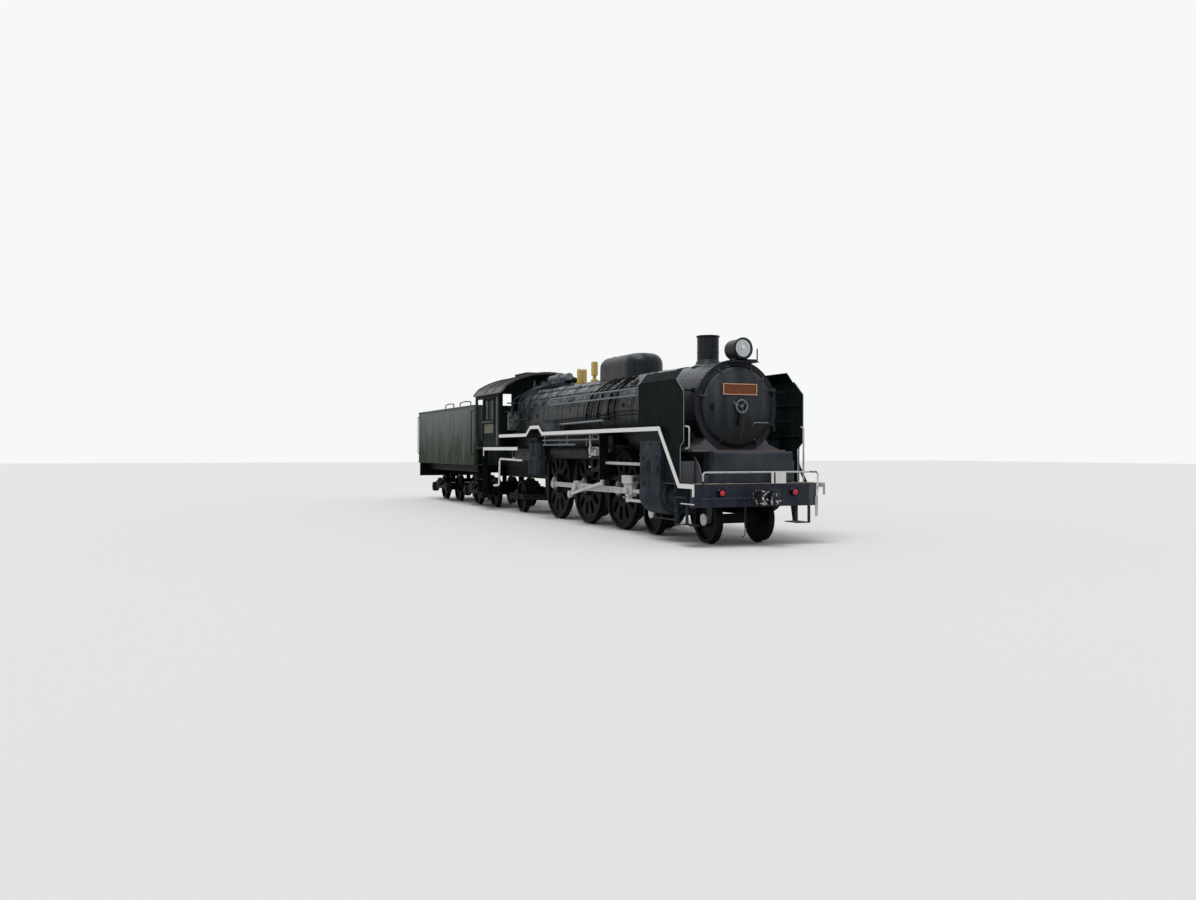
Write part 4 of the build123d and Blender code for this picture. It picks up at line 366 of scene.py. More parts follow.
def weathered(
    tint, name, paint, dust, film=0.4, top=None, fade=0.08, rough=0.45, gloss=0.2, streaks=0.1,
    streak_mm=60, rust=None, rusting=0.0, spot_mm=200, spots_from=0.65, marks=(), metal=0.0,
    low_paint=None, low_z=(0, 1), dents=0.0,
):
    """Painted steel, each layer mixed over the last by the product of its amounts: the paint fades in clouds,
    runs down in streaks, takes a paler top colour in patches where it faces the sky, rusts in spots, and is
    marked in another colour where the tests hold. The top colour is settled dust when top is not given; where
    top is sheen or white it is a painted highlight standing in for the sky's reflection."""
    material = bpy.data.materials.new(name)
    material.use_nodes = True
    tree = material.node_tree
    shader = tree.nodes["Principled BSDF"]
    where = add(tree, "ShaderNodeTexCoord", output="Object")
    cloud, patch, speck = (
        add(tree, "ShaderNodeTexNoise", {"Vector": where, "Scale": scale, "Detail": 5.0})
        for scale in (CLOUD, PATCH, SPECK)
    )
    across = 1000 / streak_mm
    upright = add(tree, "ShaderNodeMapping", {"Vector": where, "Scale": (across, across, 0.9)})
    run = add(tree, "ShaderNodeTexNoise", {"Vector": upright, "Scale": 1.0, "Detail": 4.0})
    normal = add(tree, "ShaderNodeNewGeometry", output="Normal")
    facing = add(tree, "ShaderNodeSeparateXYZ", {0: normal}, "Z")
    # Upward faces in patches: settled dust, and where top is sheen or white a painted highlight standing in
    # for the sky's reflection
    upward_dust_and_sheen = {0: patch, 1: 0.38, 2: 0.62, 3: 0.12 * film, 4: film}
    layers = [
        ([{0: cloud, 1: 0.35, 2: 0.75, 4: fade}], dust),
        ([{0: run, 1: 0.5, 2: 0.7, 4: streaks}], dust),
        ([{0: facing, 1: 0.3, 2: 0.95}, upward_dust_and_sheen], top or dust),
    ]
    # From low_paint below to paint above: on the door a painted reflection of the sky, paler towards the top;
    # on the tender the green kept low on the tank
    if low_paint:
        height = add(tree, "ShaderNodeSeparateXYZ", {0: where}, "Z")
        uneven = add(tree, "ShaderNodeMath", {0: run, 1: 1.5, 2: height}, operation="MULTIPLY_ADD")
        layers.insert(0, ([{0: uneven, 1: low_z[0] + 0.75, 2: low_z[1] + 0.75}], paint))
    if rust:
        spot = add(tree, "ShaderNodeTexNoise", {"Vector": where, "Scale": 1000 / spot_mm, "Detail": 5.0})
        spots = {0: spot, 1: spots_from, 2: spots_from + 0.06, 4: rusting}
        layers.append(([spots, {0: speck, 1: 0.4, 2: 0.6}], rust))
    for tests, mark, wear in marks:
        worn = add(tree, "ShaderNodeTexNoise", {"Vector": where, "Scale": WEAR, "Detail": 5.0})
        layers.append(([*inside(tree, where, tests), {0: worn, 1: 0.38, 2: 0.5, 3: 1.0 - wear}], mark))
    base = tint(low_paint or paint)
    for amounts, colour_name in layers:
        mask = 1.0
        for amount in amounts:
            if isinstance(amount, dict):
                amount = add(tree, "ShaderNodeMapRange", amount)
            mask = add(tree, "ShaderNodeMath", {0: mask, 1: amount}, operation="MULTIPLY")
        base = add(tree, "ShaderNodeMix", {0: mask, 6: base, 7: tint(colour_name)}, 2, data_type="RGBA")
    tree.links.new(base, shader.inputs["Base Color"])
    dull = add(tree, "ShaderNodeMapRange", {0: patch, 1: 0.3, 2: 0.7, 3: rough - 0.06, 4: rough + 0.1})
    tree.links.new(dull, shader.inputs["Roughness"])
    shader.inputs["Metallic"].default_value = metal
    shader.inputs["Specular IOR Level"].default_value = gloss
    grain = {"Height": speck, "Strength": 0.12, "Distance": 0.004}
    if dents:
        wave = add(tree, "ShaderNodeTexNoise", {"Vector": where, "Scale": WAVE, "Detail": 2.0})
        grain["Normal"] = add(tree, "ShaderNodeBump", {"Height": wave, "Strength": 0.5, "Distance": dents})
    tree.links.new(add(tree, "ShaderNodeBump", grain), shader.inputs["Normal"])
    return material


RUSTY = dict(rust="rust", rusting=0.2)
GRIMY = dict(film=0.5, rough=0.6, gloss=0.08, streaks=0.2, **RUSTY)
EDGE_OUT = 1.3702  # the outer face of the running boards' edge
PAINTS = {  # finish: material, paint, what settles on it, and how; a colour is the panel's or an sRGB hex
    # Satin enamel on rolled plate: blue-black sides, a crisp pale painted sheen on top standing in for the
    # sky's reflection, faint rain streaks
    "smokebox": ("Satin_black_enamel", "smokebox", "dust", dict(
        film=0.34, top="sheen", fade=0.04, rough=0.36, gloss=0.16, streaks=0.16, dents=0.01)),
    # Brushed enamel on thin lagging sheets: greyer, with wavy sheets and patches of painted sheen on top
    # standing in for the sky's reflection
    "lagging": ("Lagging_enamel_with_painted_sheen", "boiler", "dust", dict(
        film=0.8, top="sheen", fade=0.1, rough=0.42, streaks=0.22, dents=0.014, **RUSTY)),
    # Enamel on the door's pressed plate: blue-black, painted paler towards the top as a painted reflection of
    # the sky, with a painted sheen where it faces up
    "door": ("Pressed_door_enamel", "414449", "dust", dict(
        film=0.7, top="sheen", fade=0.06, rough=0.4, gloss=0.14, streak_mm=110, dents=0.008,
        low_paint="0f1317", low_z=(2.25, 3.6))),
    # Brushed black paint under grime, its near black partly painted shade: dull, brownish where it faces up
    "frame": ("Grimy_black_paint", "frame", "grime", GRIMY),
    # Thin brushed paint on a casting: matt, sooty grey with long runs
    "saddle": ("Faded_saddle_paint", "5e5f65", "6a6662", dict(
        film=0.5, fade=0.3, rough=0.7, gloss=0.15, streaks=0.3, **RUSTY)),
    # Sprayed enamel on flat sheet: near black, green against the light
    "cab": ("Cab_black_paint", "cab", "dust", dict(
        fade=0.04, rough=0.5, gloss=0.02, streaks=0.06, dents=0.006, **RUSTY)),
    # Bitumen paint bleached by the sun: matt and brown-grey, paler along the gutters
    "roof": ("Bleached_roof_paint", "roof", "6c6a66", dict(
        fade=0.3, rough=0.85, streaks=0.25, gloss=0.1, streak_mm=120,
        marks=[([("OUT", ">", 1.283)], "6d6d6c", 0.3)], **RUSTY)),
    # Sprayed enamel on the cylinders' sheet casing: cloudy blue-grey, green at its top edge
    "casing": ("Blue_grey_casing_paint", "casing", "dust", dict(
        fade=0.3, rough=0.5, gloss=0.03, streaks=0.18, dents=0.006,
        marks=[([("Z", ">", 1.93)], "deflector", 0.1)], **RUSTY)),
    # The same enamel where water lies on it: broad soft runs
    "heater": ("Blue_grey_box_paint", "1a2027", "dust", dict(
        film=0.45, fade=0.3, rough=0.5, streaks=0.12, streak_mm=200, dents=0.006, **RUSTY)),
    # Enamel on thin flat plate: even dark green with slight waves
    "deflector": ("Dark_green_gloss_paint", "deflector", "dust", dict(
        film=0.25, fade=0.02, rough=0.5, gloss=0.01, streaks=0.04, streak_mm=150, dents=0.006)),
    # Faded tank paint: grey above, green where it was sheltered, with long dark runs between
    "tender": ("Streaked_tender_paint", "tender", "5c625f", dict(
        fade=0.15, rough=0.6, gloss=0.06, streaks=0.3, streak_mm=260, low_paint="tender_low",
        low_z=(1.6, 3.0), dents=0.012, **RUSTY)),
    # Aluminium paint on forged steel: pale, faintly metallic, with grime run down from the joints
    "rod": ("Aluminium_paint", "rod", "grime", dict(
        film=0.3, fade=0.12, rough=0.5, streaks=0.3, streak_mm=90, metal=0.25)),
    # Brushed mid grey on drawn pipe, with a painted white highlight where it faces up
    "pipe": ("Grey_pipe_paint", "pipe", "grime", dict(film=0.15, top="white", rough=0.5, streaks=0.25)),
    # Brushed grey on edge strips and grab rails: duller, worn through to black
    "trim": ("Grey_trim_paint", "54585a", "grime", dict(
        film=0.1, fade=0.4, rough=0.6, gloss=0.1, streaks=0.35)),
    # Brushed white lining paint: clean, with slight dirty runs
    "white": ("White_line_paint", "white", "grime", dict(film=0.1, rough=0.5, streaks=0.12)),
    # Brushed ochre on cast fittings: paler where it faces up
    "ochre": ("Ochre_fitting_paint", "ochre", "grime", dict(
        film=0.2, top="e0cf9a", fade=0.15, rough=0.5, streaks=0.2)),
    # Flat khaki on a sheet panel: matt and dusty
    "khaki": ("Khaki_panel_paint", "khaki", "dust", dict(film=0.2, fade=0.3, rough=0.7, streaks=0.25)),
    # Grey-green primer on sheet boxes: matt, faded in clouds
    "primer": ("Grey_green_box_paint", "primer", "dust", dict(film=0.3, fade=0.2, rough=0.6, streaks=0.2)),
    # Red lacquer on lamp glass: smooth, with a little dust
    "red": ("Red_lamp_paint", "lamp", "dust", dict(film=0.1, rough=0.35, streaks=0.05)),
    # Etched copper sheet, browned by weather: dull and warm
    "copper": ("Copper_brown_plate", "copper", "grime", dict(film=0.2, rough=0.5, metal=0.3)),
    # Polished copper edge gone dull: pale pinkish brown
    "copper_edge": ("Dull_copper_edge", "c39b84", "copper", dict(film=0.1, fade=0.2, rough=0.5, metal=0.2)),
    # Plate edge worn to the metal: pale, with rust in clouds
    "rusty": ("Rusty_plate_edge", "978b81", "rust", dict(film=0.3, fade=0.35, rough=0.8)),
    # White paint worn off by hands and boots, down to black; on the step treads' edges it is laid as a
    # painted highlight
    "worn_white_and_highlight": ("Worn_white_paint_and_highlight", "white", "frame", dict(film=0.1, fade=0.9, rough=0.6, streaks=0.5)),
    # Brushed black on cast wheels, oily and brown with dirt
    "wheel": ("Wheel_black_paint", "wheel", "grime", GRIMY),
    # The same, with white caps on the axle ends
    "lead_wheel": ("Leading_wheel_paint", "wheel", "grime", dict(
        marks=[([("OUT", ">", 0.638)], "white", 0.15)], **GRIMY)),
    # The same, with aluminium paint on the crank pins and hubs
    "driver": ("Driving_wheel_paint", "wheel", "grime", dict(
        marks=[([("OUT", ">", 0.777)], "rod", 0.1)], **GRIMY)),
    # Brushed black on chequered plate, its edge lined white and its front end grey
    "board": ("Board_paint_with_white_edge", "frame", "dust", dict(
        film=0.6, rough=0.6, gloss=0.15, marks=[
            ([("OUT", ">", EDGE_OUT)], "white", 0.12),
            ([("Y", ">", EDGE_OUT - 0.0007), ("X", ">", 6.3)], "a9aaa8", 0.3),
        ])),
    # The same on the cab's footplate, with its steps' edges lined as well
    "floor_edge": ("Footplate_paint_with_white_edge", "frame", "dust", dict(
        rough=0.6, gloss=0.15, marks=[
            ([("OUT", ">", EDGE_OUT - 0.0047), ("X", ">", -6.01)], "white", 0.15),
            ([("OUT", ">", 1.2), ("OUT", "<", 1.3), ("Z", "<", 1.56)], "white", 0.2),
        ])),
    # Blue-black enamel chipped to grey on the platform, with a pale rail and a worn pale end
    "platform": ("Platform_paint_with_pale_rail", "262a34", "dust", dict(
        film=0.5, rough=0.55, gloss=0.12, streaks=0.08, streak_mm=140, rust="8a7c66", rusting=0.5, marks=[
            ([("X", ">", 6.46), ("Z", ">", 1.2)], "rod", 0.3),
            ([("Y", ">", 1.13), ("X", ">", 6.45)], "4c4d50", 0.8),
            ([("Y", ">", 1.29), ("X", ">", 6.45)], "white", 0.4),
        ])),
    # Brushed black on the air tanks, with the grey cooling pipe above
    "reservoir": ("Tank_black_paint_with_grey_pipes", "frame", "grime", dict(
        rough=0.55, gloss=0.15, marks=[([("Z", ">", 1.83)], "pipe", 0.1)])),
    # Black over white on a steel casting: knocked off in white spots
    "coupler": ("Worn_coupler_paint", "14171c", "grime", dict(
        rust="white", rusting=0.9, spot_mm=1000 / 17, spots_from=0.56)),
}
GLASSES = (  # finish, material, colour, metallic, roughness, specular
    # Cover glass in front of a silvered bowl: bright, and sharp enough to show the sky
    ("glass", "Lamp_glass_over_silvered_bowl", (0.42, 0.44, 0.46, 1), 0.85, 0.2, 0.5),
    # Window glass as an opaque near-black sheet, painted shade standing in for the dark cab behind it, with
    # dust on it: without a mirror's glare
    ("window", "Window_sheet_painted_shade", (0.008, 0.009, 0.01, 1), 0.0, 0.3, 0.08),
)
NODE_FINISHES = {  # start of the node's name: finish; the first that fits is taken
    "driving_wheelset": "driver", "leading_wheelset": "lead_wheel", "trailing_wheelset": "wheel",
    "tender_wheelset": "wheel", "coupling_rod": "rod", "connecting_rod": "rod", "crosshead": "rod",
    "valve_gear": "rod", "running_board": "board", "smoke_deflector": "deflector", "cylinder": "casing",
    "tender_tank": "tender", "water_hatch": "tender", "safety_valves": "ochre", "whistle": "ochre",
    "headlamp_lens": "glass", "cab_roof": "roof", "cab_floor": "floor_edge", "cab_body": "cab",
    "front_coupler": "coupler", "rear_coupler": "heater", "boiler_handrails": "pipe",
    "boiler": "lagging", "dome": "smokebox", "smokebox_door": "door", "smokebox_saddle": "saddle",
    "smokebox": "smokebox", "chimney": "smokebox", "headlamp": "smokebox", "generator": "pipe",
    "heater_casing": "heater", "backhead": "cab", "front_platform": "platform",
    "air_reservoirs": "reservoir", "air_compressor": "casing", "feed_pump": "heater", "": "frame",
}
finishes = {}


class LOCO_OT_paint(Operator):
    """Make the finishes and give every frame node its own"""

    bl_idname = "loco.paint"
    bl_label = "Paint"

    def execute(self, context):
        tints = context.scene.loco_colours

        def tint(name):
            return (*(getattr(tints, name) if hasattr(tints, name) else linear(name)), 1)

        for finish, (title, paint, dust, wear) in PAINTS.items():
            finishes[finish] = weathered(tint, title, paint, dust, **wear)
        for finish, title, glass, metal, rough, gloss in GLASSES:
            material = finishes[finish] = bpy.data.materials.new(title)
            material.use_nodes = True
            shader = material.node_tree.nodes["Principled BSDF"].inputs
            shader["Base Color"].default_value, shader["Metallic"].default_value = glass, metal
            shader["Roughness"].default_value, shader["Specular IOR Level"].default_value = rough, gloss
        for name, node in frame["nodes"].items():
            finish = next(value for start, value in NODE_FINISHES.items() if name.startswith(start))
            for slot in node.material_slots:
                slot.material = finishes[finish]
        return {"FINISHED"}


class LOCO_OT_lagging(Operator):
    """Lagging seams, band bolts and hand holes on the boiler"""

    bl_idname = "loco.lagging"
    bl_label = "Lagging"
    SEAM_XS = (3.0, 2.15, 1.27, 0.4, -0.47, -1.37, -2.31)
    BAND_XS = (3.05, 2.03, 1.01, -0.01, -1.03, -2.05)
    HAND_HOLES = ((2.6, 48), (-2.5, 62), (-3.1, 62), (-3.7, 62), (-2.8, 84), (-3.4, 84))

    def execute(self, context):
        seams = [hoop((x, 0, BOILER_Z), BOILER_R + 0.001, 0.006) for x in self.SEAM_XS]
        piece("Lagging_seams", seams, "frame")
        bolts = [
            studs(*around(30, BOILER_R + BAND, (x, 0, BOILER_Z), radians(-110), radians(220)), 0.007)
            for band_x in self.BAND_XS for x in (band_x - 0.018, band_x + 0.018)
        ]
        piece("Band_bolts", bolts, "lagging")
        plugs = []
        for x, degrees_down in self.HAND_HOLES:
            at = on_barrel(x, radians(degrees_down))
            out = (at - (x, 0, BOILER_Z)) / BOILER_R
            rim = [(0, -0.02), (0.085, -0.02), (0.085, 0.012), (0.07, 0.02), (0, 0.02)]
            plugs += [lathed(rim, at, out), studs(at + 0.02 * out, out, 0.03, 0.03)]
        piece("Wash_out_covers", both_sides(plugs), "smokebox")
        inner, outer = BOILER_R - 0.001, BOILER_R + 0.007
        strips = bars(*(
            ((x - 0.02, inner, 1.55), (x + 0.02, outer, BOILER_Z)) for x in (-3.25, -3.85, -4.42)
        ), *(((-4.48, inner, z - 0.02), (-2.97, outer, z + 0.02)) for z in (1.57, 2.3)))
        piece("Firebox_strips", both_sides(strips), "lagging", bevel=0.002)
        return {"FINISHED"}


class LOCO_OT_pipework(Operator):
    """Sand, oil and air pipes along the boiler and in front of the cab"""

    bl_idname = "loco.pipework"
    bl_label = "Pipework"
    # x at the dome's foot, at half way and at the running board
    SAND = ((2.5, 2.2, 2.24), (2.2, 1.85, 1.9), (1.75, 1.36, 1.27), (1.35, 0.75, 0.62))
    OIL = ((1.6, 1.05, 0.9), (2.35, 2.05, 1.72))
    # x at the turret, then x, y and z of the bend before the cab
    TURRET = (
        (-3.0, -3.3, 0.95, 2.55), (-3.15, -3.55, 1.02, 2.75), (-3.3, -3.75, 1.08, 2.35),
        (-3.45, -3.95, 0.98, 2.2), (-3.6, -4.15, 1.12, 2.62),
    )
    # Degrees from the top with the x of both ends, and x with the degrees of both ends
    LONG_CONDUITS = ((37, -4.3, 1.7), (53, -4.3, 3.9))
    CROSS_CONDUITS = ((-4.1, 30, 62), (-3.35, 37, 70), (-2.55, 37, 66), (-1.7, 20, 53), (-0.6, 37, 66))
    BOARD_Y = 1.15  # pipes above the running board's edge

    def execute(self, context):
        sizes = context.scene.loco_sizes
        board_y, sweep = self.BOARD_Y, np.radians(row(31, 101, 14))

        def down(xs, radius, sides, proud):
            """A pipe over the barrel's side through three xs, and its path."""
            x = np.interp(sweep, np.radians((31, 60, 101)), xs)
            path = on_barrel(x, sweep, BOILER_R + proud)
            return path, carried(circle(radius, sides), path, up=AHEAD)

        sand = []
        for xs in self.SAND:
            path, bent = down(xs, sizes.sand_pipe, 10, sizes.sand_pipe + 0.014)
            sand.append(bent)
            for step in (1, 6, 11):
                along = path[step + 1] - path[step]
                sand.append(studs(path[step], along, sizes.sand_pipe * 1.5, 0.04, sides=8))
        piece("Sand_pipes", both_sides(sand), "frame")
        oil = [down(xs, sizes.small_pipe, 8, 0.034)[1] for xs in self.OIL]
        for z in (2.42, 2.5):
            along = [(-2.1, 0.93, z - 0.05), (1.6, 0.93, z), (2.2, 0.93, z + 0.05), (3.3, 0.9114, z + 0.05)]
            oil.append(pipe(along, 0.011))
        oil += [pipe([(x, board_y, 2.16), (x, board_y, 2.34)], 0.014) for x in (-0.6, 0.4, 1.4, 2.0)]
        piece("Boiler_pipes", both_sides(oil), "frame")
        # Pale pipe with a painted white highlight along its top
        long_pipe = [pipe([(-0.8, board_y, 2.33), (2.13, board_y, 2.36)], 0.026)]
        piece("Board_pipes", both_sides(long_pipe), "pipe")

        boxes = [
            sheet_metal([(-1.25, 2.16), (-0.33, 2.16), (-0.44, 2.385), (-1.25, 2.385)], 1, 1.06, 1.33),
            bar((-1.26, 1.05, 2.385), (-0.43, 1.34, 2.397)),
            studs(row((-1.1, 1.2, 2.397), (-0.6, 1.2, 2.397), 4), UP, 0.03, 0.03),
        ]
        piece("Lubricator_boxes", both_sides(boxes), "platform", bevel=0.006)

        turret = []
        for start, mid, y, z in self.TURRET:
            bends = [(start, 0.2, 3.5), (start, 0.62, 3.42), (mid, y - 0.04, 3.1)]
            bends += [(mid, y, z), (-4.5, y, z - 0.03)]
            turret += [
                pipe(bends, 0.02, bend=0.1),
                studs((mid, y, z + 0.2), UP, 0.035, 0.06, sides=8),
                studs((start, 0.45, 3.47), UP, 0.04, 0.08, sides=8),
            ]
        for x, z in ((-4.25, 2.77), (-4.1, 3.0)):
            turret.append(pipe([(x, 1.28, z), (x, 0.9, z), (x, 0.9, z - 0.3)], 0.018, 0.05))
        stem = [(0, 0), (0.05, 0), (0.05, 0.1), (0.03, 0.12), (0.03, 0.2), (0, 0.2)]
        turret += [lathed(stem, (-3.9, y, 3.42), UP) for y in (0.55, 0.3)]
        header = bar((-3.7, -0.32, 3.42), (-2.9, 0.32, 3.5))
        piece("Turret_pipes", [*both_sides(turret), header], "heater")

        conduits = []
        for degrees, start, end in self.LONG_CONDUITS:
            turn = radians(degrees)
            conduits.append(
                carried(circle(0.012, 6), on_barrel(row(start, end, 9), turn, BOILER_R + 0.022), up=UP)
            )
            at = on_barrel(row(start + 0.2, end - 0.2, 13), turn, BOILER_R + 0.012)
            conduits.append(studs(at, at - (at * AHEAD + (0, 0, BOILER_Z)), 0.026, 0.028))
        for x, first, last in self.CROSS_CONDUITS:
            turns = np.radians(row(first, last, 6))
            ends = on_barrel(x, turns[[0, -1]], BOILER_R + 0.02)
            conduits += [
                carried(circle(0.014, 6), on_barrel(x, turns, BOILER_R + 0.03), up=AHEAD),
                studs(ends, ends - (x, 0, BOILER_Z), 0.04, 0.05, sides=8),
            ]
        piece("Boiler_conduits", both_sides(conduits), "trim")
        return {"FINISHED"}


class LOCO_OT_front(Operator):
    """Door clips, blank plate, lamps, chain and fittings on the front"""

    bl_idname = "loco.front"
    bl_label = "Front end"
    CLIPS = (-150, -76, -30, 22, 46, 150)  # degrees from the top

    def execute(self, context):
        rivet = context.scene.loco_sizes.rivet
        self.smokebox(rivet)
        self.door()
        self.beam(rivet)
        self.platform()
        return {"FINISHED"}

    def smokebox(self, rivet):
        """Clips, rivets and the door's joint."""
        centre = np.array([SMOKE_FRONT, 0, BOILER_Z])
        clips = []
        for turn in np.radians(self.CLIPS):
            out = np.array([0, np.sin(turn), np.cos(turn)])
            arm = [centre + 0.71 * out + (0.07, 0, 0), centre + 0.79 * out + (0.03, 0, 0)]
            clips += [
                carried(circle(0.015, 8), arm),
                studs(centre + 0.745 * out + (0.05, 0, 0), AHEAD, 0.022, 0.03),
                studs(centre + 0.795 * out, AHEAD, 0.025, 0.035),
            ]
        piece("Door_clips", clips, "door")
        rivets = [studs(around(48, SMOKE_R, centre)[0], AHEAD, rivet)]
        for radius, xs in (
            (BOILER_R + 0.002, (SMOKE_FRONT - 0.085, SMOKE_FRONT - 0.025)),
            (SMOKE_R, (SMOKE_REAR + 0.03, SMOKE_REAR + 0.09, SMOKE_REAR + 0.9)),
        ):
            rivets += [studs(*around(64, radius, (x, 0, BOILER_Z)), rivet) for x in xs]
        piece("Smokebox_rivets", rivets, "smokebox")
        piece("Door_joint_ring", [hoop(centre + (0.006, 0, 0), 0.765, 0.016)], "smokebox")
        # A near-black ring in the door's gap: painted shade of the recess between door and smokebox
        piece("Door_gap_painted_shade", [hoop(centre + (0.014, 0, 0), 0.747, 0.018)], "frame")

    def door(self):
        """What turns with the door: the bare plate, the handwheel, handles and a lever."""
        x, door = SMOKE_FRONT + 0.118, "smokebox_door"
        plate = [bar((x, -0.37, 2.75), (x + 0.018, 0.37, 2.97))]
        piece("Front_plate", plate, "copper", door, bevel=0.004)
        rim = [moulding((-0.357, 2.763), (0.357, 2.957), 0, x + 0.02, 0.012, 0.009)]
        piece("Front_plate_rim", rim, "copper_edge", door)
        ring_x, ring_r = x + 0.085, 0.118
        hub = [(0, -0.06), (0.03, -0.06), (0.03, 0.09), (0.02, 0.11), (0, 0.11)]
        wheel = [hoop((ring_x, 0, BOILER_Z), ring_r, 0.015, sides=32), lathed(hub, (x, 0, BOILER_Z), AHEAD)]
        for rim_end in around(3, ring_r, (ring_x, 0, BOILER_Z), radians(45))[0]:
            wheel.append(carried(circle(0.009, 8), [(x + 0.07, 0, BOILER_Z), rim_end]))
        piece("Door_handwheel", wheel, "pipe", door)
        handle = [(x - 0.02, 0.3, 2.2), (x + 0.03, 0.3, 2.24), (x + 0.03, 0.62, 2.24), (x - 0.06, 0.66, 2.24)]
        latch = [(x, -0.13, 2.62), (x + 0.03, -0.13, 2.62), (x + 0.03, -0.1, 2.55)]
        handles = [pipe(handle, 0.012, 0.04), pipe(latch, 0.012, 0.02)]
        piece("Door_handles", handles, "pipe", door)
        blade = [(-0.022, -0.008), (0.022, -0.008), (0.014, 0.008), (-0.014, 0.008)]
        lever = carried(blade, [(x + 0.02, -0.02, 2.46), (x + 0.02, -0.045, 2.18)], up=AHEAD)
        pegs = studs([(x - 0.03, -0.57, 2.5), (x - 0.03, -0.57, 2.56)], AHEAD, 0.03, 0.03)
        piece("Door_lever", [lever, pegs], "frame", door)

    def beam(self, rivet):
        """Lamps, hose, steps' stays and chain on the front beam."""
        lamp = (BEAM_X + 0.085, 0.768, 0.955)
        bowl = [(0, 0), (0.058, 0), (0.058, 0.008), (0.04, 0.026), (0.016, 0.034), (0, 0.035)]
        piece("Tail_lamp_lenses", both_sides([lathed(bowl, lamp, AHEAD)]), "red")
        shell = [(0.062, -0.09), (0.072, -0.09), (0.074, 0.014), (0.062, 0.014)]
        piece("Tail_lamp_shells", both_sides([lathed(shell, lamp, AHEAD)]), "frame")

        hose = [(0.03, -1.2, 0.84), (0.1, -1.12, 0.86), (0.1, -0.2, 0.86), (0.14, -0.12, 1.02)]
        stay = [(6.22, 0.83), (6.45, 0.83), (6.4, 0.43), (6.32, 0.40), (6.3, 0.5)]
        bits = [
            studs(row((BEAM_X, -1.26, z), (BEAM_X, 1.26, z), 22), AHEAD, rivet)
            for z in (BEAM_LOW + 0.05, DECK_Z - 0.05)
        ]
        bits.append(pipe(np.array(hose) + (BEAM_X, 0, 0), 0.014, 0.05))
        bits += bars(*(
            ((BEAM_X, y - 0.02, 0.83), (BEAM_X + 0.115, y + 0.02, 0.89)) for y in (-0.95, -0.4)
        ), ((BEAM_X, -0.2, 0.72), (BEAM_X + 0.05, 0.2, 1.06)))
        bits += both_sides([sheet_metal(stay, 1, 0.89, 0.92), bar((6.24, 0.86, 0.8), (6.44, 0.95, 1.1))])
        piece("Beam_fittings", bits, "platform", bevel=0.003)

        x, y = BEAM_X + 0.09, -0.3
        links = [
            hoop((x, y, 0.75 - 0.04 * index), 0.02, 0.0045, (OUTWARD, AHEAD)[index % 2], 12, 6)
            for index in range(13)
        ]
        links.append(hoop((x, y, 0.78), 0.04, 0.009, sides=16, section=6))
        hook = [(x, y, 0.25), (x, y - 0.01, 0.2), (x, y - 0.05, 0.16), (x, y - 0.08, 0.18)]
        links.append(pipe(hook, 0.009, 0.02))
        links.append(pipe([(BEAM_X, y, 0.82), (x, y, 0.82), (x, y, 0.76)], 0.012, 0.03))
        piece("Coupling_chain", links, "heater")

    def platform(self):
        """Gussets, worn edges and the two blank plates by the rail."""
        gusset = [(5.75, DECK_Z), (6.15, DECK_Z), (5.98, DECK_Z + 0.3), (5.78, DECK_Z + 0.5)]
        step = bar((5.9, 0.55, DECK_Z), (6.06, 0.8, DECK_Z + 0.14))
        plates = both_sides([sheet_metal(gusset, 1, 0.88, 0.9), step])
        plates += bars(*(
            ((5.84, y, DECK_Z), (5.86, end, DECK_Z + 0.4)) for y, end in ((-1.24, -0.94), (0.96, 1.24))
        ))
        piece("Front_gussets", plates, "saddle", bevel=0.003)
        edges = bars(
            ((5.78, -1.0, 1.716), (5.915, 1.0, 1.725)),
            ((BEAM_X - 0.01, -1.33, DECK_Z - 0.005), (BEAM_X + 0.004, 1.33, DECK_Z + 0.006)),
            *(
                ((BEAM_X - 0.03, y, DECK_Z), (BEAM_X + 0.006, y + wide, DECK_Z + 0.012))
                for y, wide in ((-1.235, 0.14), (-1.0, 0.22), (-0.62, 0.12), (0.72, 0.1), (1.0, 0.2))
            ),
        )
        piece("Rusty_edges", edges, "rusty")
        signs = bars(*(
            ((BEAM_X + 0.035, y, 1.115), (BEAM_X + 0.043, end, 1.33))
            for y, end in ((0.375, 0.6), (0.284, 0.34))
        ))
        piece("Rail_plate", signs, "white", bevel=0.003)
        # The first two strips are painted highlights along the step treads' front edges; the post and the
        # small marks on the beam are worn white paint
        marks = bars(
            ((6.08, -1.337, 0.752), (6.57, -1.327, 0.772)),
            ((6.08, -1.337, 0.36), (6.4, -1.327, 0.378)),
            ((BEAM_X + 0.02, 1.25, 0.5), (BEAM_X + 0.04, 1.3, 0.87)),
            *(
                ((6.955, y - wide, z - high), (6.962, y + wide, z + high))
                for y, z, wide, high in (
                    (-0.15, 0.995, 0.03, 0.006), (-0.05, 0.985, 0.02, 0.008), (0.03, 0.79, 0.012, 0.035),
                    (0.12, 0.93, 0.006, 0.03), (0.2, 0.82, 0.02, 0.008), (-0.12, 0.8, 0.006, 0.03),
                )
            ),
        )
        piece("Worn_white_marks_and_tread_highlights", marks, "worn_white_and_highlight")


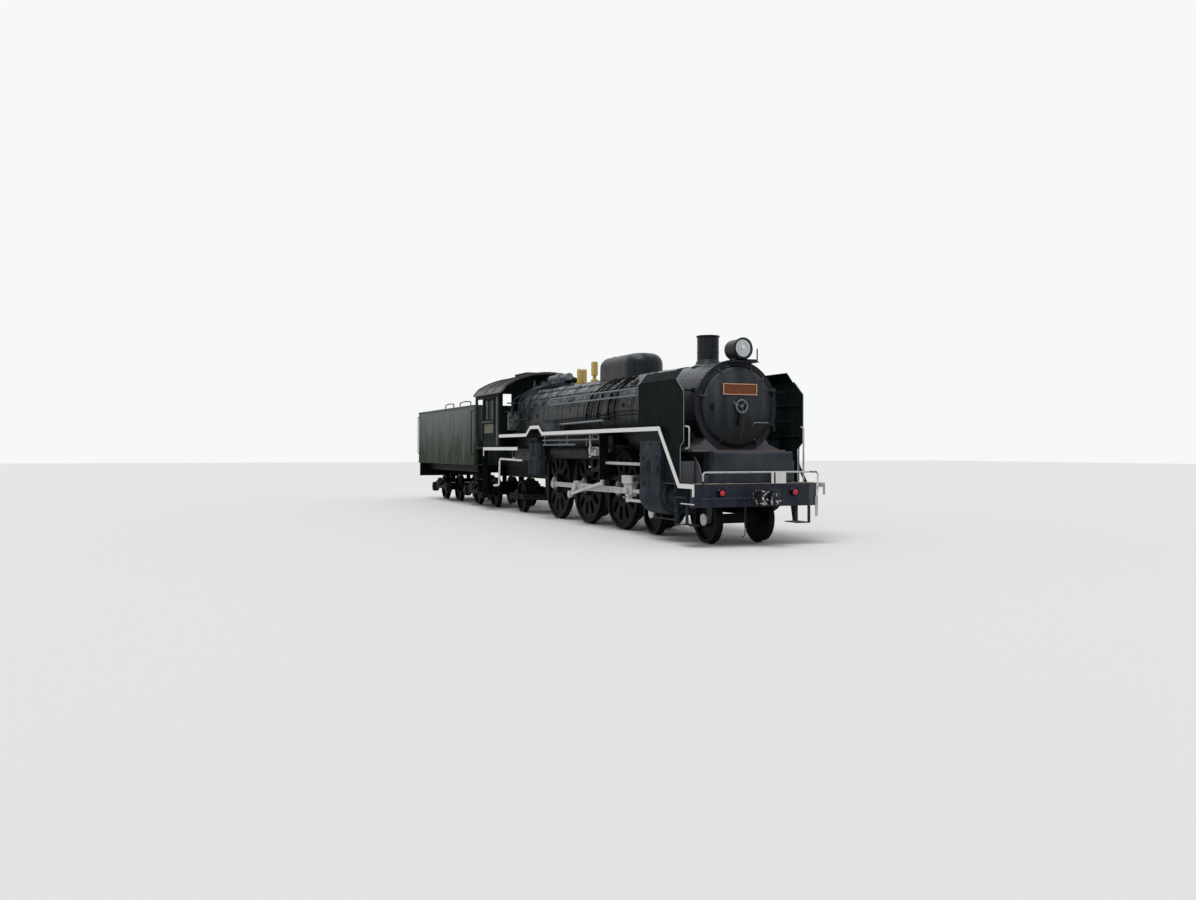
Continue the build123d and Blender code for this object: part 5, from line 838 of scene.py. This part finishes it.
class LOCO_OT_motion(Operator):
    """Bolts, oil cups, links and lifting gear of the rods"""

    bl_idname = "loco.motion"
    bl_label = "Rods and motion"
    AXLE_PITCH = 1.95
    PIN_STUDS = ((-0.085, 0, 0), (0.085, 0, 0), (0, 0, -0.085))
    CAP = [(0, 0), (0.06, 0), (0.06, 0.03), (0.03, 0.045), (0, 0.045)]
    CUP = [(0, 0), (0.03, 0), (0.03, 0.05), (0.018, 0.06), (0, 0.065)]
    LINKS = (
        [(1.17, 1.62), (1.3, 1.60), (2.08, 1.6), (2.1, 1.7), (1.62, 1.8), (1.17, 1.78)],
        [(2.05, 1.68), (2.12, 1.68), (2.12, 1.2), (2.04, 1.2)],
        [(1.17, 1.56), (2.19, 1.56), (2.19, 1.595), (1.17, 1.595)],
        [(1.17, 1.33), (2.19, 1.33), (2.19, 1.36), (1.17, 1.36)],
        [(1.93, 1.25), (2.01, 1.25), (2.01, 1.03), (1.93, 1.03)],
    )
    PINS = ((1.3, 1.7), (1.62, 1.7), (1.9, 1.66), (2.08, 1.42), (1.97, 1.22), (1.97, 1.07))

    def execute(self, context):
        for side, name in ((-1, "right"), (1, "left")):
            out = (0, side, 0)
            low, high = corners(f"coupling_rod_{name}")
            pin_z = (low + high)[2] / 2 - 0.019
            cups = []
            for x in low[0] + 0.112 + self.AXLE_PITCH * np.arange(3):
                around_pin = (x, side * 0.88, pin_z) + np.array(self.PIN_STUDS)
                cups.append(studs(around_pin, out, 0.016, 0.014))
                cups.append(lathed(self.CUP, (x, side * 0.84, pin_z + 0.125), UP))
            piece(f"Coupling_rod_cups_{name}", cups, "rod", f"coupling_rod_{name}")

            x = corners(f"crosshead_{name}")[0][0] + 0.24
            slide = [lathed(self.CAP, (x, side * 1.085, DRIVER_Z), out)]
            slide += [
                studs((x + dx, side * 1.08, z), out, 0.02, 0.02)
                for dx in (-0.15, -0.05, 0.05, 0.15) for z in (1.02, 0.74)
            ]
            piece(f"Crosshead_bolts_{name}", slide, "rod")
            near, far = side * 1.045, side * 1.075
            gear = [pipe([(1.5, side * 0.7, 1.72), (1.5, side * 1.2, 1.72)], 0.045)]
            gear += [sheet_metal(outline, 1, near, far) for outline in self.LINKS]
            arm = [(1.42, 1.7), (1.5, 1.7), (1.44, 2.06), (1.38, 2.06)]
            gear.append(sheet_metal(arm, 1, side * 1.13, side * 1.16))
            gear += [lathed(self.CAP, (x, far, z), out, sides=16) for x, z in self.PINS]
            piece(f"Lifting_gear_{name}", gear, "rod", bevel=0.003)
            reach = [pipe([(1.41, side * 1.145, 2.03), (-2.8, side * 1.145, 2.06)], 0.024)]
            piece(f"Reach_rod_{name}", reach, "frame")
        disc = [(0, 0.0), (0.1, 0.0), (0.1, 0.006), (0.07, 0.016), (0, 0.018)]
        for index, x in enumerate(DRIVER_XS, start=1):
            bolts = oval((x, 0.685, DRIVER_Z), 0.15, 0.15, 8)
            caps = [lathed(disc, (x, 0.696, DRIVER_Z), OUTWARD), studs(bolts, OUTWARD, 0.018, 0.014)]
            body = f"driving_axle_{index}"
            piece(f"Driver_hub_caps_{index}", both_sides(caps), "rod", body)
        return {"FINISHED"}


class LOCO_OT_cylinders(Operator):
    """Cover bolts, drain cocks, casing screws and oval casing covers"""

    bl_idname = "loco.cylinders"
    bl_label = "Cylinders"
    CASING_Y = 1.362
    # x, z, half width and half height
    COVERS = (
        (4.81, 1.4, 0.1, 0.125), (5.17, 1.57, 0.05, 0.035), (4.58, 1.56, 0.04, 0.03), (5.2, 1.36, 0.05, 0.06),
        (4.6, 1.09, 0.05, 0.04),
    )

    def execute(self, context):
        front, rear, y = CYL_HIGH[0] - 0.15, CYL_LOW[0], self.CASING_Y
        bolts = [
            studs(around(count, radius, (x, middle, z))[0], (ahead, 0, 0), 0.02, 0.022)
            for middle, z, radius, count in ((1.0, DRIVER_Z, 0.265, 16), (0.96, 1.45, 0.175, 12))
            for x, ahead in ((front, 1), (rear, -1))
        ]
        bolts += [
            studs(row((rear + 0.1, y, z), (front - 0.05, y, z), 8), OUTWARD, 0.011, 0.008)
            for z in (0.93, 1.25, 1.62, 1.9, 2.08)
        ]
        bolts += bars(*(((rear + 0.03, y, z - 0.012), (front, y + 0.006, z + 0.012)) for z in (1.26, 1.63)))
        button = [(0, 0), (0.028, 0), (0.028, 0.02), (0.012, 0.03), (0, 0.03)]
        bolts += [lathed(button, (x, y, 1.84), OUTWARD) for x in (4.57, 4.9, 5.22)]
        piece("Cylinder_bolts", both_sides(bolts), "casing")
        covers = [
            sheet_metal(oval((x, 0, z), wide, high, 24)[:, [0, 2]], 1, y, y + 0.006)
            for x, z, wide, high in self.COVERS
        ]
        piece("Casing_covers", both_sides(covers), "frame", bevel=0.003)
        ring = [studs(oval((4.81, y, 1.4), 0.125, 0.15, 8), OUTWARD, 0.014, 0.012)]
        piece("Casing_cover_studs", both_sides(ring), "heater")
        cock = [(0, 0), (0.03, 0), (0.03, 0.05), (0.018, 0.06), (0.018, 0.14), (0, 0.14)]
        cocks = [lathed(cock, (x, 1.0, 0.50), (0, 0, -1)) for x in (rear + 0.03, front - 0.03)]
        cocks += [
            pipe([(rear, 1.03, 0.41), (front, 1.03, 0.41)], 0.014),
            hoop((front + 0.01, 1.0, DRIVER_Z), 0.31, 0.012),
            hoop((front + 0.005, 1.0, DRIVER_Z), 0.2, 0.01),
        ]
        piece("Drain_cocks", both_sides(cocks), "heater")
        return {"FINISHED"}


class LOCO_OT_deflectors(Operator):
    """Edge beads, bolts, stays and grab rails of the smoke deflectors"""

    bl_idname = "loco.deflectors"
    bl_label = "Smoke deflectors"
    FACE_Y = 1.281

    def execute(self, context):
        sizes = context.scene.loco_sizes
        low, high = corners("smoke_deflector_right")
        front, rear, fold, y = high[0], low[0], high[2] - 0.18, self.FACE_Y
        beads = [
            pipe([(rear, y, 2.17), (rear, y, fold - 0.05), (rear + 0.06, y, fold)], 0.006, 0.02, 6),
            pipe([(rear + 0.06, y, fold), (front - 0.29, y, fold)], 0.006, 0.02, 6),
        ]
        piece("Deflector_beads", both_sides(beads), "deflector")
        front_bead = [
            (front - 0.29, y, fold), (front, y, fold - 0.25), (front, y, 1.88), (front - 0.13, y, 1.78),
            (front - 0.13, y, DECK_Z + 0.02),
        ]
        front_beads = both_sides([pipe(front_bead, 0.008, 0.02, 6)])
        piece("Deflector_front_beads", front_beads, "pipe")
        bolts = [
            studs([(x, y, 2.3), (x, y, fold - 0.1)], OUTWARD, sizes.rivet)
            for x in row(rear + 0.2, front - 0.25, 5)
        ]
        bolts += [pipe([(5.1, 1.25, z), (front - 0.02, 1.25, z)], 0.012) for z in (2.58, 1.99)]
        piece("Deflector_bolts", both_sides(bolts), "deflector")
        near = [(front - 0.01, 2.155), (front + 0.15, 2.14), (front + 0.15, 1.76), (front + 0.02, 1.75)]
        far = [(front - 0.02, 1.25, 2.16), (front + 0.03, 1.27, 2.16), (front + 0.03, 1.27, DECK_Z)]
        rails = [
            pipe([(x, -1.25, z) for x, z in near], sizes.handrail, 0.04),
            pipe(far, 0.018, 0.04),
            pipe([(front - 0.08, 1.22, DECK_Z), (front - 0.08, 1.22, 1.75)], 0.01),
        ]
        piece("Deflector_grab_rails", rails, "worn_white_and_highlight")
        return {"FINISHED"}


class LOCO_OT_cab(Operator):
    """Window frames, panels, handrails and rivets of the cab, and the ribs of its roof"""

    bl_idname = "loco.cab"
    bl_label = "Cab"
    WINDOW_XS, WINDOW_ZS = (-5.9, -5.0), (2.58, 3.13)
    FOOT_Z, HEAD_Z = 1.84, 3.2  # strips on the side sheet
    ROOF_XS = (-6.84, -4.2)

    def execute(self, context):
        sizes, wall = context.scene.loco_sizes, CAB_HIGH[1]
        (x_low, x_high), (z_low, z_high) = self.WINDOW_XS, self.WINDOW_ZS
        foot, head = self.FOOT_Z, self.HEAD_Z
        first, second = (x_low - 0.02, z_low - 0.02), (x_high + 0.02, z_high + 0.02)
        frames = []
        for side in (-1, 1):
            y = side * (wall + 0.004)
            frames.append(moulding(first, second, 1, y, 0.02, 0.012))
            frames += bars(
                ((-5.47, y - 0.02, z_low), (-5.43, y + 0.008, z_high)),
                ((-6.0, y - 0.01, 3.17), (-4.9, y + side * 0.04, head)),
                ((x_high + 0.05, y - 0.004, foot), (x_high + 0.07, y + side * 0.01, head)),
                ((x_low - 0.12, y - 0.004, foot), (x_low - 0.1, y + side * 0.01, head)),
            )
        piece("Cab_window_frames", frames, "cab", bevel=0.003)
        # Opaque near-black panes: painted shade standing in for the dark cab seen through the windows
        panes = bars(((x_low, wall - 0.024, z_low), (x_high, wall - 0.016, z_high)))
        piece("Cab_window_panes", both_sides(panes), "window")
        strips = bars(
            ((-4.75, wall, foot), (-4.62, wall + 0.006, head)),
            ((-5.97, wall, 2.5), (-4.95, wall + 0.05, 2.54)),
        )
        piece("Cab_corner_strips", both_sides(strips), "trim", bevel=0.002)
        out = wall + 0.05
        rails = [
            pipe([(x, wall, low), (x, out, low), (x, out, high), (x, wall, high)], sizes.handrail, 0.03)
            for x, low, high in ((-6.65, 1.95, 3.0), (-6.0, 2.0, 2.95))
        ]
        piece("Cab_handrails", both_sides(rails), "trim")
        lines = [((x, wall, 1.86), (x, wall, 3.2)) for x in (-4.53, -6.77)]
        lines += [((-6.0, wall, z), (-4.55, wall, z)) for z in (1.86, 2.5)]
        rivets = [studs(row(*line, 15), OUTWARD, sizes.rivet) for line in lines]
        piece("Cab_rivets", both_sides(rivets), "cab")
        khaki = bars(((-5.86, wall, 2.2), (-5.02, wall + 0.006, 2.46)))
        piece("Khaki_panels", both_sides(khaki), "khaki", bevel=0.002)
        boxes = bars(
            ((-4.5, 0.885, 2.27), (-4.4, 1.14, 2.72)),
            ((-4.51, 0.9, 2.72), (-4.41, 1.12, 2.76)),
            ((-4.402, 0.93, 2.5), (-4.392, 1.1, 2.51)),
        )
        piece("Cab_front_boxes", both_sides(boxes), "primer", bevel=0.01)
        front = CAB_HIGH[0]
        shutters = [moulding((1.0, 2.75), (1.29, 3.29), 0, front + 0.006, 0.018, 0.01)]
        shutters += bars(((front - 0.02, 1.02, 2.77), (front - 0.01, 1.27, 2.95)))
        piece("Cab_front_windows", both_sides(shutters), "cab", bevel=0.002)

        # Across the roof: z = crown - R + sqrt(R^2 - y^2) between the shoulders, then straight to the eaves
        shoulder_y, shoulder_z, crown = 1.28, ROOF_LOW[2] + 0.199, ROOF_HIGH[2] - 0.06
        sag = crown - shoulder_z
        radius = (shoulder_y**2 + sag**2) / (2 * sag)
        y = row(-shoulder_y, shoulder_y, 25)
        eave_z = ROOF_LOW[2] + 0.024
        over = np.column_stack([y, crown - radius + np.sqrt(radius**2 - y**2)])
        over = np.vstack([[(-1.425, eave_z)], over, [(1.425, eave_z)]])
        strip = [(-0.03, -0.004), (0.03, -0.004), (0.03, 0.012), (-0.03, 0.012)]
        ribs = [
            carried(strip, np.insert(over, 0, x, axis=1), up=AHEAD) for x in (-4.22, -5.0, -5.75, -6.82)
        ]
        ribs += both_sides([
            pipe([(x, y, z) for x in self.ROOF_XS], thick)
            for y, z, thick in ((1.428, ROOF_LOW[2] + 0.012, 0.015), (1.285, shoulder_z + 0.005, 0.01))
        ])
        ribs += bars(((-6.1, -0.4, ROOF_HIGH[2] - 0.012), (-5.0, 0.4, ROOF_HIGH[2] + 0.006)))
        piece("Roof_ribs", ribs, "roof", bevel=0.003)
        return {"FINISHED"}


class LOCO_OT_tender(Operator):
    """Rivets, handrails, ladder and springs of the tender"""

    bl_idname = "loco.tender"
    bl_label = "Tender"
    PITCH = 0.12  # between rivets
    AXLE_Z = 0.43
    # x of the foot, the middle and the other foot of the rails on top
    FRONT_RAIL, REAR_RAIL = -np.array((0.55, 1.2, 1.75)), np.array((4.6, 4.1, 3.6))

    def execute(self, context):
        sizes = context.scene.loco_sizes
        rear, foot = TANK_LOW[0], TANK_LOW[2]
        front, wall, top = TANK_HIGH
        seams = (foot + 0.05, top - 0.05)
        xs, zs = np.arange(rear + 0.06, front, self.PITCH), np.arange(foot + 0.15, top - 0.1, self.PITCH)
        lines = [[(x, wall, z) for x in xs] for z in seams]
        lines += [[(x, wall, z) for z in zs] for x in row(rear + 0.05, front - 0.05, 7)]
        beads = [studs(line, OUTWARD, sizes.rivet) for line in lines]
        beads += bars(
            ((rear + 0.02, wall, top - 0.03), (front - 0.02, wall + 0.025, top)),
            ((rear + 0.02, wall, foot), (front - 0.02, wall + 0.02, foot + 0.05)),
        )
        beads = both_sides(beads)
        for z in seams:
            beads.append(studs([(rear, y, z) for y in np.arange(-1.3, 1.31, 0.13)], (-1, 0, 0), sizes.rivet))
        piece("Tank_rivets_and_beads", beads, "tender", "tender")

        y, out, behind = wall - 0.05, wall + 0.06, rear - 0.09
        rails = []
        for start, mid, end in (front + self.FRONT_RAIL, rear + self.REAR_RAIL):
            bends = [(start, -0.02), (start, 0.12), (mid, 0.15), (end, 0.12), (end, -0.02)]
            rails.append(pipe([(x, y, top + z) for x, z in bends], 0.016, 0.05))
        rails += [
            pipe([(x, wall, 1.6), (x, out, 1.6), (x, out, 2.9), (x, wall, 2.9)], sizes.handrail, 0.03)
            for x in (front - 0.12, rear + 0.12)
        ]
        over, end = top + 0.03, rear + 0.2
        over_top = [(behind, foot + 0.1), (behind, over), (end, over), (end, top - 0.15)]
        rails.append(pipe([(x, 0.95, z) for x, z in over_top], sizes.handrail, 0.06))
        rails = both_sides(rails)
        for z in np.arange(foot + 0.25, top, 0.3):
            rails.append(pipe([(behind, 0.65, z), (behind, 0.95, z)], 0.012))
        inner = [(behind, 0.65, foot + 0.1), (behind, 0.65, top - 0.05), (rear + 0.02, 0.65, top - 0.03)]
        rails.append(pipe(inner, sizes.handrail, 0.04))
        for z in (foot + 0.15, top - 0.2):
            rails += [pipe([(behind, y, z), (rear, y, z)], 0.012) for y in (0.65, 0.95, -0.95)]
        piece("Tender_rails_and_ladder", rails, "frame", "tender")

        face, axle_z = 0.99, self.AXLE_Z
        lid = [(0, 0), (0.12, 0), (0.12, 0.05), (0.09, 0.065), (0, 0.07)]
        for number in (1, 2):
            middle = sum(corners(f"tender_bogie_{number}"))[0] / 2
            parts = []
            for x in (middle - 0.9, middle + 0.9):
                bolts = (x, face + 0.03, axle_z) + 0.17 * 0.5**0.5 * np.array(
                    [(1, 0, 1), (-1, 0, 1), (-1, 0, -1), (1, 0, -1)]
                )
                parts += [
                    lathed(lid, (x, face, axle_z), OUTWARD),
                    bar((x - 0.16, face, 0.28), (x + 0.16, face + 0.03, 0.58)),
                    studs(bolts, OUTWARD, 0.018),
                ]
            parts += bars(*(
                ((middle - half, face, z - 0.02), (middle + half, face + 0.075, z - 0.002))
                for half, z in zip(0.42 - 0.055 * np.arange(6), 0.66 - 0.022 * np.arange(6))
            ), ((middle - 0.06, face, 0.5), (middle + 0.06, face + 0.09, 0.68)))
            name, body = f"Tender_axle_boxes_{number}", f"tender_bogie_{number}"
            piece(name, both_sides(parts), "frame", body, bevel=0.004)
        return {"FINISHED"}


class LOCO_OT_topside(Operator):
    """Bolts and lips on dome, chimney, lamp and fittings"""

    bl_idname = "loco.topside"
    bl_label = "Dome, chimney and lamp"

    def execute(self, context):
        high = corners("headlamp")[1]
        lamp = np.array([high[0], 0, high[2] - 0.19])
        stay = lamp + [(-0.25, 0, -0.235), (-0.05, 0.33, -0.235), (-0.05, 0.33, 0)]
        parts = [
            hoop(lamp + (0.002, 0, 0), 0.18, 0.016),
            hoop(lamp + (-0.4, 0, 0), 0.13, 0.008),
            pipe(stay, 0.013, 0.03),
            bar(lamp + (-0.3, -0.18, -0.262), lamp + (0.0, 0.34, -0.238)),
        ]
        parts += [studs(at, AHEAD, 0.014) for at in around(4, 0.188, lamp, pi / 4)[0]]
        piece("Headlamp_rim", parts, "smokebox", bevel=0.002)
        bulb = [(0, 0), (0.045, 0), (0.04, 0.02), (0.02, 0.035), (0, 0.04)]
        bulb = [lathed(bulb, lamp + (-0.006, 0, 0), AHEAD), hoop(lamp, 0.1, 0.003, section=6)]
        piece("Headlamp_bulb", bulb, "white")
        low, high = corners("chimney")
        rims = [
            hoop(((low + high)[0] / 2, 0, high[2] - down), radius, thick, UP)
            for down, radius, thick in ((0.012, 0.222, 0.012), (0.32, 0.218, 0.006))
        ]
        piece("Chimney_rims", rims, "smokebox")
        low, high = corners("dome")
        foot_line = row((low[0] + 0.1, 0.45, 3.36), (high[0] - 0.1, 0.45, 3.36), 16)
        fittings = both_sides([studs(foot_line, (0, 1, 0.1), context.scene.loco_sizes.rivet)])
        lid = [(0, 0), (0.11, 0), (0.11, 0.02), (0, 0.03)]
        for x, y in ((-0.5, -0.1), (0.4, 0.05)):
            fittings.append(lathed(lid, ((low + high)[0] / 2 + x, y, high[2] - 0.005), UP))
        piece("Dome_fittings", fittings, "smokebox")
        at = on_barrel(2.72, radians(47))
        flap = sheet_metal([(2.6, 2.68), (2.78, 2.62), (2.78, 2.72)], 1, 0.93, 0.955)
        disc = lathed([(0, 0), (0.12, 0), (0.1, 0.03), (0, 0.04)], at, at - (2.72, 0, BOILER_Z))
        piece("Dark_covers", both_sides([flap, disc]), "frame")
        return {"FINISHED"}


class LOCO_OT_stage(Operator):
    """Floor, even light, one wide lamp and the camera"""

    bl_idname = "loco.stage"
    bl_label = "Stage"
    CAMERA_AT = (22.22, -9.896, 1.715)
    FORWARD = (-0.91868, 0.39499, 0.00038)
    ROLL = radians(0.08)
    FOCAL_PX, PHOTO_WIDTH_PX, SENSOR_MM = 1011.9, 1196, 36
    FLOOR_HALF = 120

    def execute(self, context):
        scene = context.scene
        settings = scene.loco_stage
        ground = bpy.data.materials.new("Pale_floor")
        ground.use_nodes = True
        shader = ground.node_tree.nodes["Principled BSDF"]
        shader.inputs["Base Color"].default_value = (*settings.floor, 1)
        shader.inputs["Roughness"].default_value = 0.9
        extent = row(-self.FLOOR_HALF, self.FLOOR_HALF, 3)
        flat = np.stack(np.meshgrid(extent, extent, indexing="ij") + [np.full((3, 3), -0.001)], -1)
        points, faces = grid(flat, wrap_v=False, caps=False)
        mesh = bpy.data.meshes.new("Floor")
        mesh.from_pydata(points.tolist(), [], faces)
        mesh.materials.append(ground)
        floor = bpy.data.objects.new("Floor", mesh)
        scene.collection.objects.link(floor)

        # The world lights at its own strength, and shows white to the camera, glass and metal
        world = bpy.data.worlds.new("Even_light")
        scene.world = world
        world.use_nodes = True
        tree = world.node_tree
        lit = tree.nodes["Background"]
        lit.inputs["Color"].default_value = (0.93, 0.96, 1.0, 1)
        lit.inputs["Strength"].default_value = settings.sky
        seen = add(tree, "ShaderNodeBackground", {"Color": (0.93, 0.94, 0.94, 1), "Strength": 1.0})
        rays = add(tree, "ShaderNodeLightPath").node.outputs
        shown = rays["Is Camera Ray"]
        for ray in ("Is Glossy Ray", "Is Transmission Ray"):
            shown = add(tree, "ShaderNodeMath", {0: shown, 1: rays[ray]}, operation="MAXIMUM")
        mixed = add(tree, "ShaderNodeMixShader", {0: shown, 1: lit.outputs[0], 2: seen})
        tree.links.new(mixed, tree.nodes["World Output"].inputs["Surface"])

        lamp = bpy.data.lights.new("Wide_lamp", "SUN")
        lamp.energy, lamp.angle = settings.sun, radians(35)
        sun = bpy.data.objects.new("Wide_lamp", lamp)
        sun.rotation_euler = (radians(22), radians(14), 0)
        scene.collection.objects.link(sun)

        lens = bpy.data.cameras.new("Camera")
        lens.sensor_fit, lens.sensor_width = "HORIZONTAL", self.SENSOR_MM
        lens.lens = self.SENSOR_MM * self.FOCAL_PX / self.PHOTO_WIDTH_PX
        lens.clip_end = 400
        camera = bpy.data.objects.new("Camera", lens)
        back = -unit(np.array(self.FORWARD))
        right = unit(np.cross(UP, back))
        facing = Matrix(np.column_stack([right, np.cross(back, right), back]).tolist())
        facing = facing @ Matrix.Rotation(self.ROLL, 3, "Z")
        camera.matrix_world = Matrix.Translation(np.array(self.CAMERA_AT) + HOME) @ facing.to_4x4()
        scene.collection.objects.link(camera)
        scene.camera = camera
        scene.view_settings.view_transform = "Standard"
        return {"FINISHED"}


OPERATORS = (
    LOCO_OT_stage,
    LOCO_OT_paint,
    LOCO_OT_lagging,
    LOCO_OT_pipework,
    LOCO_OT_front,
    LOCO_OT_motion,
    LOCO_OT_cylinders,
    LOCO_OT_deflectors,
    LOCO_OT_cab,
    LOCO_OT_tender,
    LOCO_OT_topside,
)


class LOCO_PT_panel(Panel):
    """Steps that dress the locomotive"""

    bl_idname = "LOCO_PT_panel"
    bl_label = "Locomotive"
    bl_space_type = "VIEW_3D"
    bl_region_type = "UI"
    bl_category = "Locomotive"

    def draw(self, context):
        for group in (context.scene.loco_colours, context.scene.loco_sizes, context.scene.loco_stage):
            for name in type(group).__annotations__:
                self.layout.prop(group, name)
        for step in OPERATORS:
            self.layout.operator(step.bl_idname)


CLASSES = (LocoColours, LocoSizes, LocoStage, *OPERATORS, LOCO_PT_panel)


def register():
    for cls in CLASSES:
        bpy.utils.register_class(cls)
    bpy.types.Scene.loco_colours = PointerProperty(type=LocoColours)
    bpy.types.Scene.loco_sizes = PointerProperty(type=LocoSizes)
    bpy.types.Scene.loco_stage = PointerProperty(type=LocoStage)


def unregister():
    del bpy.types.Scene.loco_colours, bpy.types.Scene.loco_sizes, bpy.types.Scene.loco_stage
    for cls in reversed(CLASSES):
        bpy.utils.unregister_class(cls)


def main():
    register()
    for step in OPERATORS:
        getattr(bpy.ops.loco, step.bl_idname.split(".")[1])()


if __name__ == "__main__":
    main()
